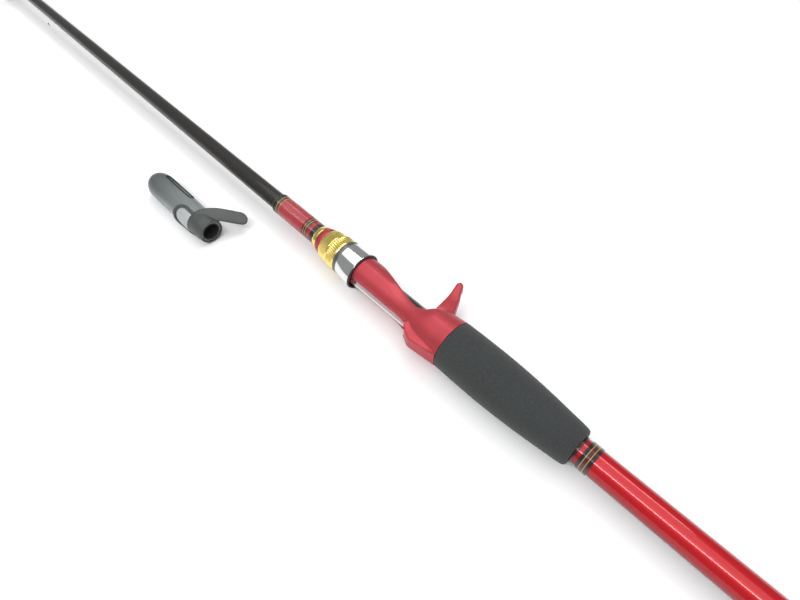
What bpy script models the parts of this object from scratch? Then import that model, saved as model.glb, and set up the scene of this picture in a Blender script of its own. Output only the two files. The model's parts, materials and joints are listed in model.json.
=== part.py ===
"""Telescopic casting rod with a trigger reel seat, shown extended, and its loose tip cover.

World frame: +X runs along the rod from the butt face to the tip, +Y is the reel side (the guides
and the reel's foot), -Y is the trigger side, +Z is up. The origin is the centre of the butt face,
on the rod's axis. The rod lies on its side, as it does on a table.

Lengths in this file are in millimetres until MM turns them into metres. A station is a distance
along the rod from the reel seat's reference point, which is SEAT_STATION from the butt face.
"""

import math

import bmesh
import bpy
from mathutils import Matrix, Vector

MM = 0.001
OBJECT_NAME = "telescopic_casting_rod"

# Driving dimensions.
SEAT_STATION = 360.0          # butt face to the reel seat's reference point
GAP = 0.3                     # between pieces that touch end to end
SKIN_GAP = 0.1                # between a wrap or bush and the tube that it is on
SLIDE_GAP = 0.15              # around each telescoping section
ROUND = 24                    # sides of the handle's round pieces
SLIM = 16                     # sides of the slim sections and the guides

MOUTH = 121.0                 # front end of the handle
BLANK_REAR = -335.0
SLEEVE_REAR = -352.0
SLEEVE_FRONT = -48.0
GRIP_REAR = -136.6
GRIP_RADIUS = 16.3            # the grip's widest radius, which the rod rests on

SEAT_REAR = -45.0
SEAT_BORE = 8.0
BARREL_RADIUS = 11.0
BARREL_FRONT = 35.5
THREAD_RADIUS = 8.9
THREAD_FRONT = 67.7
WAIST_HALF = 9.4              # half the seat's width across the finger scoop
CHANNEL_REAR = -16.9          # the inlaid saddle's channel, between the two hoods
CHANNEL_FLOOR = 7.6
CHANNEL_HALF = 3.9
SADDLE_TOP = 10.4
SADDLE_FRONT = 32.4
POCKET_REAR = -34.5           # the fixed hood's pocket for the reel's foot
POCKET_ROOF = 15.0
POCKET_HALF = 5.6

HOOD_REAR = 34.0
HOOD_FRONT = 49.2
HOOD_BORE = 11.2
HOOD_ROOF = 13.2              # inner height of the hood's bulge for the reel's foot
HOOD_SKIN = 0.6               # the black hood's wall
COVER_SKIN = 0.5              # the bright hood cover's wall
NUT_REAR = 51.1
NUT_FRONT = 67.8

COVER_CENTRE_Y = 48.7         # the tip cover lies beside the rod
COVER_MOUTH = 139.0
COVER_END = 215.0
COVER_RADIUS = 9.7
COVER_MOUTH_RADIUS = 7.6
COVER_SHOULDER = 167.0        # where the cover's mouth end starts to narrow
COVER_FLARE = (COVER_RADIUS - COVER_MOUTH_RADIUS) / (COVER_SHOULDER - COVER_MOUTH)
STRAP_RADIUS = 8.6

# Each telescoping section: rear and front station, and radius at both.
SECTIONS = {
    "section_2": (76.0, 575.0, 6.42, 4.40),
    "section_3": (535.0, 930.0, 3.87, 2.80),
    "section_4": (895.0, 1230.0, 2.40, 1.60),
    "section_5": (1195.0, 1470.0, 1.22, 0.75),
}

# Each guide: section, station of its ring, height of the ring above the axis, ring bore radius,
# collar length behind the ring, and the length of thread wrap behind the collar (0: it floats).
GUIDES = {
    "guide_1": ("section_2", 564.0, 17.0, 4.6, 7.0, 9.0),
    "guide_2": ("section_3", 921.0, 13.0, 3.6, 5.5, 7.0),
    "guide_3": ("section_4", 1222.0, 9.8, 3.0, 4.5, 5.0),
    "float_guide_1": ("section_3", 768.0, 14.6, 4.0, 4.0, 0.0),
    "float_guide_2": ("section_4", 1090.0, 11.2, 3.2, 4.0, 0.0),
}

# Each moving body: its parent body, and the world station of its frame.
BODY_TREE = {
    "handle": (None, -SEAT_STATION),
    "hood": ("handle", HOOD_REAR),
    "nut": ("hood", NUT_REAR),
    "butt_seal": ("handle", SLEEVE_REAR),
    "butt_cap": ("butt_seal", SLEEVE_REAR),
    "section_2": ("handle", MOUTH),
    "section_3": ("section_2", SECTIONS["section_2"][1]),
    "section_4": ("section_3", SECTIONS["section_3"][1]),
    "section_5": ("section_4", SECTIONS["section_4"][1]),
    "float_guide_1": ("section_3", GUIDES["float_guide_1"][1]),
    "float_guide_2": ("section_4", GUIDES["float_guide_2"][1]),
    "tip_cover": ("handle", COVER_MOUTH),
}

# Material: base colour, metallic, roughness.
FINISHES = {
    "carbon_black": ((0.030, 0.033, 0.033), 0.0, 0.32),
    "candy_red": ((0.520, 0.020, 0.030), 0.5, 0.18),
    "satin_red": ((0.560, 0.085, 0.100), 0.4, 0.42),
    "grip_foam": ((0.045, 0.050, 0.050), 0.0, 0.90),
    "thread_black": ((0.012, 0.012, 0.012), 0.0, 0.20),
    "thread_gold": ((0.520, 0.330, 0.080), 0.7, 0.30),
    "thread_maroon": ((0.120, 0.018, 0.020), 0.1, 0.25),
    "thread_red": ((0.480, 0.060, 0.075), 0.1, 0.30),
    "saddle_gloss": ((0.420, 0.300, 0.310), 0.2, 0.15),
    "black_plastic": ((0.020, 0.021, 0.021), 0.0, 0.40),
    "bright_metal": ((0.620, 0.620, 0.610), 1.0, 0.18),
    "grey_metal": ((0.110, 0.120, 0.115), 0.6, 0.35),
    "gold_metal": ((0.830, 0.640, 0.240), 1.0, 0.22),
    "bush_grey": ((0.300, 0.300, 0.280), 0.0, 0.80),
    "rubber_black": ((0.020, 0.020, 0.020), 0.0, 0.75),
    "guide_steel": ((0.200, 0.200, 0.210), 1.0, 0.25),
    "guide_ceramic": ((0.060, 0.060, 0.065), 0.0, 0.08),
    "smoke_plastic": ((0.160, 0.185, 0.185), 0.0, 0.25),
    "strap_rubber": ((0.060, 0.066, 0.064), 0.0, 0.60),
}

TURN_TO_X = (0.0, math.pi / 2, 0.0)                                  # local Z becomes world X
FACINGS = {
    "X": Matrix(((0, 0, 1), (1, 0, 0), (0, 1, 0))).to_euler(),       # local XY becomes world YZ
    "Y": (math.pi / 2, 0.0, 0.0),                                    # local XY becomes world XZ
    "Z": (0.0, 0.0, 0.0),
}


# ---------------------------------------------------------------- scene set-up

def clear_scene():
    """Remove every object that the file starts with."""
    for obj in list(bpy.data.objects):
        bpy.data.objects.remove(obj, do_unlink=True)


def new_collection(name):
    collection = bpy.data.collections.new(name)
    bpy.context.scene.collection.children.link(collection)
    return collection


def make_materials():
    """One Principled material for each finish."""
    materials = {}
    for name, (colour, metallic, roughness) in FINISHES.items():
        material = bpy.data.materials.new(name)
        material.use_nodes = True
        shader = material.node_tree.nodes["Principled BSDF"]
        shader.inputs["Base Color"].default_value = (*colour, 1.0)
        shader.inputs["Metallic"].default_value = metallic
        shader.inputs["Roughness"].default_value = roughness
        materials[name] = material
    return materials


def make_frames():
    """One empty for each moving body, on its joint's axis, in the tree that the joints make."""
    frames = {}
    for name, (parent, station) in BODY_TREE.items():
        frame = bpy.data.objects.new(name + "_axis", None)
        PARTS.objects.link(frame)
        frame["station"] = station
        frame.location.x = (station + SEAT_STATION) * MM
        if parent:
            frame.parent = frames[parent]
            frame.location.x = (station - frames[parent]["station"]) * MM
        frames[name] = frame
    return frames


# ---------------------------------------------------------------- modelling helpers

def bake(obj):
    """Apply the modifiers, weld the mesh, face it outward and shade it smooth between edges."""
    depsgraph = bpy.context.evaluated_depsgraph_get()
    mesh = bpy.data.meshes.new_from_object(obj.evaluated_get(depsgraph))
    shape = bmesh.new()
    shape.from_mesh(mesh)
    bmesh.ops.remove_doubles(shape, verts=shape.verts, dist=0.000002)
    bmesh.ops.recalc_face_normals(shape, faces=shape.faces)
    shape.to_mesh(mesh)
    shape.free()
    mesh.shade_smooth()
    mesh.set_sharp_from_angle(angle=math.radians(35.0))
    obj.modifiers.clear()
    obj.data = mesh


def place(obj, body, station, y=0.0, z=0.0):
    """Put the object under its body's empty with its origin at a station and height."""
    frame = FRAMES[body]
    obj.parent = frame
    obj.location = Vector((station - frame["station"], y, z)) * MM


def finish(obj, finish_name):
    obj.data.materials.clear()
    obj.data.materials.append(MATERIALS[finish_name])


def as_tool(obj):
    """Move an object that only shapes others into the cutters' collection."""
    PARTS.objects.unlink(obj)
    TOOLS.objects.link(obj)
    obj.hide_render = True
    obj.display_type = "WIRE"
    return obj


def combine(target, tools, operation):
    """Cut the tools out of the target, or join them to it."""
    for tool in tools:
        modifier = target.modifiers.new(operation.lower(), "BOOLEAN")
        modifier.operation = operation
        modifier.object = as_tool(tool)
    bpy.context.view_layer.update()
    bake(target)


def turned(name, body, outer, inner=None, y=0.0, z=0.0, sides=ROUND):
    """Turn a profile about a line along X; outer and inner are (station, radius) rear to front."""
    start = outer[0][0]
    line = [(radius, station - start) for station, radius in reversed(outer)]
    if inner:
        line += [(radius, station - start) for station, radius in inner]
    else:
        if line[0][0] > 0.0:
            line.insert(0, (0.0, line[0][1]))
        if line[-1][0] > 0.0:
            line.append((0.0, line[-1][1]))
    edges = [(i, i + 1) for i in range(len(line) - 1)]
    if inner:
        edges.append((len(line) - 1, 0))
    mesh = bpy.data.meshes.new(name)
    mesh.from_pydata([(radius * MM, 0.0, along * MM) for radius, along in line], edges, [])
    obj = bpy.data.objects.new(name, mesh)
    PARTS.objects.link(obj)
    obj.rotation_euler = TURN_TO_X
    screw = obj.modifiers.new("turn", "SCREW")
    screw.steps = sides
    screw.render_steps = sides
    screw.use_merge_vertices = True
    screw.merge_threshold = 0.00001
    place(obj, body, start, y, z)
    bpy.context.view_layer.update()
    bake(obj)
    return obj


def from_curve(name, curve, rotation):
    """Turn a filled or bevelled curve into a welded mesh object."""
    source = bpy.data.objects.new(name + "_curve", curve)
    PARTS.objects.link(source)
    bpy.context.view_layer.update()
    mesh = bpy.data.meshes.new_from_object(source.evaluated_get(bpy.context.evaluated_depsgraph_get()))
    obj = bpy.data.objects.new(name, mesh)
    PARTS.objects.link(obj)
    obj.matrix_world = source.matrix_world
    obj.rotation_euler = rotation
    bpy.data.objects.remove(source, do_unlink=True)
    bake(obj)
    return obj


def extruded(name, body, outlines, thickness, station, y=0.0, z=0.0, facing="Z"):
    """Extrude flat outlines, the first the outer one and the others its holes, about a plane.

    Facing Z, the points are (station offset, y) and the thickness runs along Z. Facing X, the
    points are (y, z) and the thickness runs along X. Facing Y, the points are (station offset, z)
    and the thickness runs along Y.
    """
    curve = bpy.data.curves.new(name, "CURVE")
    curve.dimensions = "2D"
    curve.fill_mode = "BOTH"
    curve.extrude = thickness / 2 * MM
    for outline in outlines:
        spline = curve.splines.new("POLY")
        spline.points.add(len(outline) - 1)
        for point, (u, v) in zip(spline.points, outline):
            point.co = (u * MM, v * MM, 0.0, 1.0)
        spline.use_cyclic_u = True
    obj = from_curve(name, curve, FACINGS[facing])
    place(obj, body, station, y, z)
    bpy.context.view_layer.update()
    return obj


def wire(name, body, points, radius, station, y=0.0, z=0.0):
    """A round wire through points that are offsets from its origin."""
    curve = bpy.data.curves.new(name, "CURVE")
    curve.dimensions = "3D"
    curve.bevel_depth = radius * MM
    curve.bevel_resolution = 2
    curve.use_fill_caps = True
    spline = curve.splines.new("POLY")
    spline.points.add(len(points) - 1)
    for point, offset in zip(spline.points, points):
        point.co = (*(Vector(offset) * MM), 1.0)
    obj = from_curve(name, curve, (0.0, 0.0, 0.0))
    place(obj, body, station, y, z)
    return obj


def block(name, body, low, high):
    """A box between two corners, each (station, y, z)."""
    bpy.ops.mesh.primitive_cube_add(size=1.0)
    obj = bpy.context.object
    obj.name = name
    for collection in list(obj.users_collection):
        collection.objects.unlink(obj)
    PARTS.objects.link(obj)
    size = [(b - a) * MM for a, b in zip(low, high)]
    obj.data.transform(Matrix.Diagonal((*size, 1.0)))
    centre = [(a + b) / 2 for a, b in zip(low, high)]
    place(obj, body, *centre)
    bpy.context.view_layer.update()
    return obj


def rounded(obj, width, segments=2, angle=40.0):
    """Round the object's sharp edges."""
    bevel = obj.modifiers.new("round", "BEVEL")
    bevel.width = width * MM
    bevel.segments = segments
    bevel.limit_method = "ANGLE"
    bevel.angle_limit = math.radians(angle)
    bpy.context.view_layer.update()
    bake(obj)
    return obj


# ---------------------------------------------------------------- shape formulas

def arc(centre_u, centre_v, radius, start, end, steps):
    """Points on an arc, angles in degrees from +u towards +v."""
    points = []
    for i in range(steps + 1):
        angle = math.radians(start + (end - start) * i / steps)
        points.append((centre_u + radius * math.cos(angle), centre_v + radius * math.sin(angle)))
    return points


def circle(centre_u, radius):
    """A ring's seat with as many sides as the ring."""
    return arc(centre_u, 0.0, radius, 0.0, 360.0, SLIM)[:-1]


def smooth_line(points, steps):
    """A Catmull-Rom curve through a few points."""
    ends = [points[0]] + list(points) + [points[-1]]
    line = []
    for p0, p1, p2, p3 in zip(ends, ends[1:], ends[2:], ends[3:]):
        for i in range(steps):
            t = i / steps
            line.append(tuple(
                0.5 * (2 * b + (c - a) * t + (2 * a - 5 * b + 4 * c - d) * t * t
                       + (3 * b - a - 3 * c + d) * t ** 3)
                for a, b, c, d in zip(p0, p1, p2, p3)))
    line.append(points[-1])
    return line


def radius_at(section, station):
    """A section's outer radius at a station."""
    rear, front, rear_radius, front_radius = SECTIONS[section]
    return rear_radius + (front_radius - rear_radius) * (station - rear) / (front - rear)


def blank_radius(station):
    """The handle blank's outer radius at a station."""
    return 7.25 + (6.7 - 7.25) * (station - BLANK_REAR) / (MOUTH - BLANK_REAR)


def sleeve_radius(station):
    """The red butt sleeve's outer radius at a station."""
    return 7.9 + (8.6 - 7.9) * (SLEEVE_FRONT - station) / (SLEEVE_FRONT - SLEEVE_REAR)


def teardrop(foot_radius, foot_height, ring_radius, ring_height):
    """The outline round a small circle and a larger one above it; points are (y, z)."""
    lean = math.degrees(math.asin((ring_radius - foot_radius) / (ring_height - foot_height)))
    outline = arc(ring_height, 0.0, ring_radius, -90.0 - lean, 90.0 + lean, 13)
    outline += arc(foot_height, 0.0, foot_radius, 90.0 + lean, 270.0 - lean, 4)
    return outline


# ---------------------------------------------------------------- the handle

def make_handle_tubes():
    bore_at_overlap = SECTIONS["section_2"][2] + SLIDE_GAP
    bore_at_mouth = radius_at("section_2", MOUTH) + SLIDE_GAP
    blank = turned(
        "handle_blank", "handle",
        [(BLANK_REAR, blank_radius(BLANK_REAR)), (MOUTH, blank_radius(MOUTH))],
        [(BLANK_REAR, 6.75), (SECTIONS["section_2"][0], bore_at_overlap), (MOUTH, bore_at_mouth)])
    finish(blank, "carbon_black")

    sleeve_bore = blank_radius(BLANK_REAR) + SKIN_GAP
    sleeve = turned(
        "butt_sleeve", "handle",
        [(SLEEVE_REAR, sleeve_radius(SLEEVE_REAR)), (SLEEVE_FRONT, sleeve_radius(SLEEVE_FRONT))],
        [(SLEEVE_REAR, sleeve_bore), (SLEEVE_FRONT, sleeve_bore)])
    finish(sleeve, "candy_red")


def make_grip():
    profile = [
        (GRIP_REAR, 9.6), (GRIP_REAR + 0.6, 11.0), (GRIP_REAR + 2.4, 12.0), (-130.8, 12.5),
        (-120.5, 13.5), (-111.0, 14.45), (-99.0, 15.35), (-87.0, 15.95), (-76.0, 16.25),
        (-66.0, GRIP_RADIUS), (-56.0, 16.25), (SEAT_REAR - GAP, 16.05)]
    bore = sleeve_radius(GRIP_REAR) + SKIN_GAP + 0.05
    grip = turned("rear_grip", "handle", profile, [(GRIP_REAR, bore), (SEAT_REAR - GAP, bore)])
    finish(grip, "grip_foam")


def make_wrap(name, finish_name, surface, rear, front, thickness):
    """A sleeve of thread under varnish, wound round the surface between two stations."""
    inner = [(rear, surface(rear) + SKIN_GAP), (front, surface(front) + SKIN_GAP)]
    outer = [(station, radius + thickness) for station, radius in inner]
    finish(turned(name, "handle", outer, inner), finish_name)


def make_wraps():
    """The thread wraps behind the grip, and those between the reel seat and the mouth."""
    make_wrap("rear_edge_wrap", "thread_black", sleeve_radius, -138.2, -137.0, 0.35)
    make_wrap("rear_band_wrap", "thread_maroon", sleeve_radius, -147.7, -140.8, 0.35)
    make_wrap("fore_band_wrap", "thread_maroon", blank_radius, 77.7, 88.8, 0.45)
    make_wrap("keeper_wrap", "thread_red", blank_radius, 89.0, 114.4, 0.5)
    make_wrap("mouth_band_wrap", "thread_black", blank_radius, 114.6, 120.3, 0.45)


def make_mouth_ring():
    inner = blank_radius(MOUTH) + SKIN_GAP
    ring = turned("mouth_ring", "handle",
                  [(120.5, inner + 0.6), (121.2, inner + 0.4), (121.6, inner - 0.1)],
                  [(120.5, inner), (121.4, inner), (121.4, inner - 0.3), (121.6, inner - 0.3)])
    finish(ring, "grey_metal")


def make_hook_keeper():
    """A small wire bridge on the reel side, where the lure's hook is parked."""
    height = 3.0
    side = 3.4
    bend = 1.3
    points = [(-side, 0.0, 0.0)]
    points += [(u, v, 0.0) for u, v in arc(-side + bend, height - bend, bend, 180.0, 90.0, 4)]
    points += [(u, v, 0.0) for u, v in arc(side - bend, height - bend, bend, 90.0, 0.0, 4)]
    points.append((side, 0.0, 0.0))
    base = blank_radius(103.0) + SKIN_GAP + 0.5 + 0.08
    finish(wire("hook_keeper", "handle", points, 0.45, 103.0, base, 0.0), "bright_metal")


def make_butt():
    """The threaded bush in the sleeve's end, and the screw cap with its seal and rubber pad."""
    plug_front = BLANK_REAR - GAP
    plug_radius = blank_radius(BLANK_REAR)
    plug = turned("butt_bush", "handle",
                  [(SLEEVE_REAR, plug_radius), (plug_front, plug_radius)],
                  [(SLEEVE_REAR, 5.7), (plug_front, 5.7)])
    finish(plug, "black_plastic")

    seal_radius = 0.6
    seal_line = arc(SLEEVE_REAR - 0.15 - seal_radius, 6.35, seal_radius, 180.0, 0.0, 4)
    seal_under = arc(SLEEVE_REAR - 0.15 - seal_radius, 6.35, seal_radius, 180.0, 360.0, 4)
    seal = turned("butt_o_ring", "butt_seal", seal_line, seal_under[1:-1])
    finish(seal, "rubber_black")

    flange_front = SLEEVE_REAR - 1.5
    flange_rear = -357.0
    cap = turned("butt_cap", "butt_cap",
                 [(flange_rear, 8.3), (flange_rear + 0.6, 8.9), (flange_front - 0.5, 8.9),
                  (flange_front, 8.5), (flange_front, 5.5), (-341.0, 5.5), (-340.2, 4.8)])
    finish(cap, "grey_metal")

    pad = turned("butt_pad", "butt_cap",
                 [(-SEAT_STATION, 6.9), (-359.5, 7.7), (-358.4, 8.2), (flange_rear - GAP, 8.2)])
    finish(pad, "rubber_black")


# ---------------------------------------------------------------- the reel seat

def trigger_outline():
    """The trigger seen along Z, hooked forward: its leading edge, rounded tip, trailing edge."""
    leading = [(-19.0, -6.0), (-20.6, -12.0), (-20.4, -19.0), (-19.2, -26.0), (-17.8, -32.0)]
    tip = [(-17.5, -34.2), (-18.8, -35.6), (-20.8, -34.9)]
    trailing = [(-22.8, -32.2), (-26.0, -27.6), (-29.4, -20.8), (-32.6, -15.4), (-36.0, -12.0)]
    return smooth_line(leading + tip + trailing, 2) + [(-36.0, -6.0)]


def scoop_outline():
    """The finger scoop seen along Z: it ramps down from the barrel to the bare blank."""
    ramp = [(27.0, -11.6), (20.0, -8.7), (13.0, -6.4), (5.0, -4.0), (-2.0, -2.3), (-9.0, -0.7),
            (-15.0, 0.4), (-19.0, -0.4), (-21.6, -4.0), (-22.6, -10.0)]
    return smooth_line(ramp, 2) + [(-22.6, -20.0), (27.0, -20.0)]


def fixed_hood_outline():
    """The fixed hood seen along Z: a raked front lip, a crest, and a slope down to the grip."""
    return [(-44.5, 8.0), (-44.5, 15.5), (-36.0, 16.7), (-29.0, 17.6), (-25.0, 17.7),
            (-17.2, 13.2), (-17.2, 8.0)]


def make_reel_seat():
    seat = turned("reel_seat", "handle", [
        (SEAT_REAR, 16.0), (-39.0, 15.4), (-31.0, 15.0), (-25.5, 14.7), (-22.0, 13.6),
        (-18.5, 11.6), (-16.0, BARREL_RADIUS), (BARREL_FRONT, BARREL_RADIUS),
        (BARREL_FRONT, THREAD_RADIUS), (THREAD_FRONT, THREAD_RADIUS)])
    waist_radius = 70.0
    waists = [extruded("waist_cutter", "handle", [arc(0.0, 0.0, waist_radius, 0.0, 357.5, 143)], 40.0,
                       -7.0, 0.0, side * (WAIST_HALF + waist_radius), facing="Y")
              for side in (-1, 1)]
    scoop = extruded("finger_scoop", "handle", [scoop_outline()], 60.0, 0.0)
    combine(seat, waists + [scoop], "DIFFERENCE")

    hood = extruded("fixed_hood_block", "handle", [fixed_hood_outline()], 15.0, 0.0)
    rounded(hood, 3.2, 3, 60.0)
    trigger = extruded("trigger_block", "handle", [trigger_outline()], 7.4, 0.0)
    rounded(trigger, 1.8, 2, 60.0)
    combine(seat, [hood, trigger], "UNION")

    bore = turned("seat_bore", "handle",
                  [(SEAT_REAR - 1.0, SEAT_BORE), (THREAD_FRONT + 1.0, SEAT_BORE)])
    channel = block("saddle_channel", "handle",
                    (CHANNEL_REAR, CHANNEL_FLOOR, -CHANNEL_HALF),
                    (SADDLE_FRONT + GAP, 30.0, CHANNEL_HALF))
    pocket = block("fixed_pocket", "handle",
                   (POCKET_REAR, SADDLE_TOP, -POCKET_HALF), (-15.0, POCKET_ROOF, POCKET_HALF))
    combine(seat, [bore, channel, pocket], "DIFFERENCE")
    finish(seat, "satin_red")


def make_seat_fittings():
    """The glossy inlaid saddle under the reel's foot, the bushes on the blank and the trim rings."""
    length = SADDLE_FRONT - CHANNEL_REAR - GAP
    saddle = block("foot_saddle", "handle",
                   (CHANNEL_REAR + GAP, CHANNEL_FLOOR + 0.15, -CHANNEL_HALF + 0.3),
                   (CHANNEL_REAR + GAP + length, SADDLE_TOP, CHANNEL_HALF - 0.3))
    finish(saddle, "saddle_gloss")

    for name, rear, front in (("rear_bush", -44.5, -24.0), ("front_bush", 36.5, 72.4)):
        outer = SEAT_BORE - 0.15
        bush = turned(name, "handle", [(rear, outer), (front, outer)],
                      [(rear, blank_radius(rear) + SKIN_GAP), (front, blank_radius(front) + SKIN_GAP)])
        finish(bush, "bush_grey")

    collar = turned("seat_collar", "handle",
                    [(68.1, 9.8), (70.4, 9.6), (72.7, 8.9)], [(68.1, SEAT_BORE), (72.7, SEAT_BORE)])
    finish(collar, "satin_red")
    inner = blank_radius(73.0) + SKIN_GAP
    ring = turned("seat_end_ring", "handle",
                  [(73.0, 8.8), (74.6, 8.6), (76.4, 7.9), (77.5, 7.45)], [(73.0, inner), (77.5, inner)])
    finish(ring, "gold_metal")


def hood_solid(name, margin, rear, front):
    """The hood's bore swelled by a margin: a cylinder with a bulge that slopes down to the front."""
    solid = turned(name, "hood", [(rear, HOOD_BORE + margin), (front, HOOD_BORE + margin)])
    roof = HOOD_ROOF + margin
    slope = [(rear, roof + 0.4), (HOOD_REAR + 4.0, roof - 0.5), (HOOD_REAR + 9.0, roof - 1.5),
             (HOOD_REAR + 12.0, HOOD_BORE + margin - 1.0)]
    if front < HOOD_REAR:
        slope = [(rear, roof + 0.4), (front, roof + 0.2)]
    slope = [(slope[0][0], 0.0)] + slope + [(slope[-1][0], 0.0)]
    bulge = extruded(name + "_bulge", "hood", [slope], 2 * (5.2 + margin), 0.0)
    rounded(bulge, 2.6, 3, 60.0)
    combine(solid, [bulge], "UNION")
    return solid


def make_hood():
    """The movable hood: a black body with a rear lip, its bright cover, and a thrust washer."""
    lip_rear = HOOD_REAR - 1.1
    body = hood_solid("movable_hood", HOOD_SKIN, HOOD_REAR - 0.5, HOOD_FRONT)
    lip = hood_solid("hood_lip", HOOD_SKIN + 0.7, lip_rear, HOOD_REAR - 0.1)
    hollow = hood_solid("hood_hollow", 0.0, lip_rear - 1.0, HOOD_FRONT - 3.0)
    passage = turned("hood_passage", "hood", [(lip_rear - 2.0, 9.05), (HOOD_FRONT + 1.0, 9.05)])
    combine(body, [lip], "UNION")
    combine(body, [hollow, passage], "DIFFERENCE")
    finish(body, "black_plastic")

    cover = hood_solid("hood_cover", HOOD_SKIN + SKIN_GAP + COVER_SKIN, HOOD_REAR, HOOD_FRONT)
    inside = hood_solid("cover_hollow", HOOD_SKIN + SKIN_GAP, HOOD_REAR - 1.0, HOOD_FRONT + 1.0)
    combine(cover, [inside], "DIFFERENCE")
    finish(cover, "bright_metal")

    washer = turned("hood_washer", "hood", [(49.4, 12.15), (50.9, 12.15)], [(49.4, 9.05), (50.9, 9.05)])
    finish(washer, "grey_metal")


def make_nut():
    """The hood nut: a knurled gold ring on a threaded core."""
    core = turned("nut_core", "nut", [(NUT_REAR, 9.6), (NUT_FRONT, 9.6)],
                  [(NUT_REAR, 9.05), (NUT_FRONT, 9.05)])
    finish(core, "black_plastic")
    ring = turned(
        "hood_nut", "nut",
        [(NUT_REAR, 11.7), (51.6, 12.0), (58.4, 12.0), (59.0, 11.5), (63.4, 11.2), (66.4, 10.7),
         (NUT_FRONT, 10.2)],
        [(NUT_REAR, 9.7), (NUT_FRONT, 9.7)])
    finish(ring, "gold_metal")


# ---------------------------------------------------------------- sections, guides, cover

def make_sections():
    names = list(SECTIONS)
    for name, inner_name in zip(names, names[1:] + [None]):
        rear, front, rear_radius, front_radius = SECTIONS[name]
        outer = [(rear, rear_radius), (front, front_radius)]
        bore = None
        if inner_name:
            overlap = SECTIONS[inner_name][0]
            bore = [(rear, rear_radius - 0.75),
                    (overlap, SECTIONS[inner_name][2] + SLIDE_GAP),
                    (front, radius_at(inner_name, front) + SLIDE_GAP)]
        section = turned(name, name, outer, bore, sides=SLIM if name != "section_2" else ROUND)
        finish(section, "carbon_black")


def make_guide(name):
    """A guide: a frame of a collar and a plate, a ceramic ring, and the wrap that holds it."""
    section, station, height, ring_bore, collar_length, wrap_length = GUIDES[name]
    body = section if wrap_length else name
    rear = station - collar_length
    front = station + 1.4
    bore = radius_at(section, rear) + SKIN_GAP
    collar = turned(name + "_frame", body, [(rear, bore + 0.5), (front, bore + 0.5)],
                    [(rear, bore), (front, bore)], sides=SLIM)
    seat_radius = ring_bore + 1.15
    plate = extruded(
        name + "_plate", body,
        [teardrop(1.3, bore + 1.5, seat_radius + 0.7, height),
         circle(height, seat_radius)],
        1.1, station, facing="X")
    combine(collar, [plate], "UNION")
    finish(collar, "guide_steel")

    outer = seat_radius - SKIN_GAP
    ring = turned(name + "_ring", body,
                  [(station - 1.1, ring_bore + 0.5), (station - 0.7, outer), (station + 0.7, outer),
                   (station + 1.1, ring_bore + 0.5)],
                  [(station - 0.9, ring_bore + 0.1), (station, ring_bore), (station + 0.9, ring_bore + 0.1)],
                  y=height, sides=SLIM)
    finish(ring, "guide_ceramic")

    if wrap_length:
        wrap_front = rear - 0.2
        wrap_rear = wrap_front - wrap_length
        inner = [(s, radius_at(section, s) + SKIN_GAP) for s in (wrap_rear, wrap_front)]
        wrap = turned(name + "_wrap", body, [(s, r + 0.4) for s, r in inner], inner, sides=SLIM)
        finish(wrap, "thread_red")


def make_tip_top():
    """The end guide: a tube over the tip, a plate and a ceramic ring."""
    rear, front = 1461.0, 1472.0
    height, ring_bore = 5.2, 2.4
    bore = radius_at("section_5", rear) + SKIN_GAP
    tube = turned("tip_top_frame", "section_5",
                  [(rear, bore + 0.45), (front, bore + 0.45), (front + 0.6, bore)], sides=SLIM)
    socket = turned("tip_top_socket", "section_5", [(rear - 1.0, bore), (1470.0 + GAP, bore)], sides=SLIM)
    seat_radius = ring_bore + 0.9
    plate = extruded(
        "tip_top_plate", "section_5",
        [teardrop(0.8, 0.9, seat_radius + 0.6, height), circle(height, seat_radius)],
        1.0, front - 0.4, facing="X")
    combine(tube, [plate], "UNION")
    combine(tube, [socket], "DIFFERENCE")
    finish(tube, "guide_steel")
    outer = seat_radius - SKIN_GAP
    middle = front - 0.4
    ring = turned("tip_top_ring", "section_5",
                  [(middle - 0.9, ring_bore + 0.4), (middle - 0.6, outer), (middle + 0.6, outer),
                   (middle + 0.9, ring_bore + 0.4)],
                  [(middle - 0.8, ring_bore + 0.1), (middle, ring_bore), (middle + 0.8, ring_bore + 0.1)],
                  y=height, sides=SLIM)
    finish(ring, "guide_ceramic")


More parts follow.
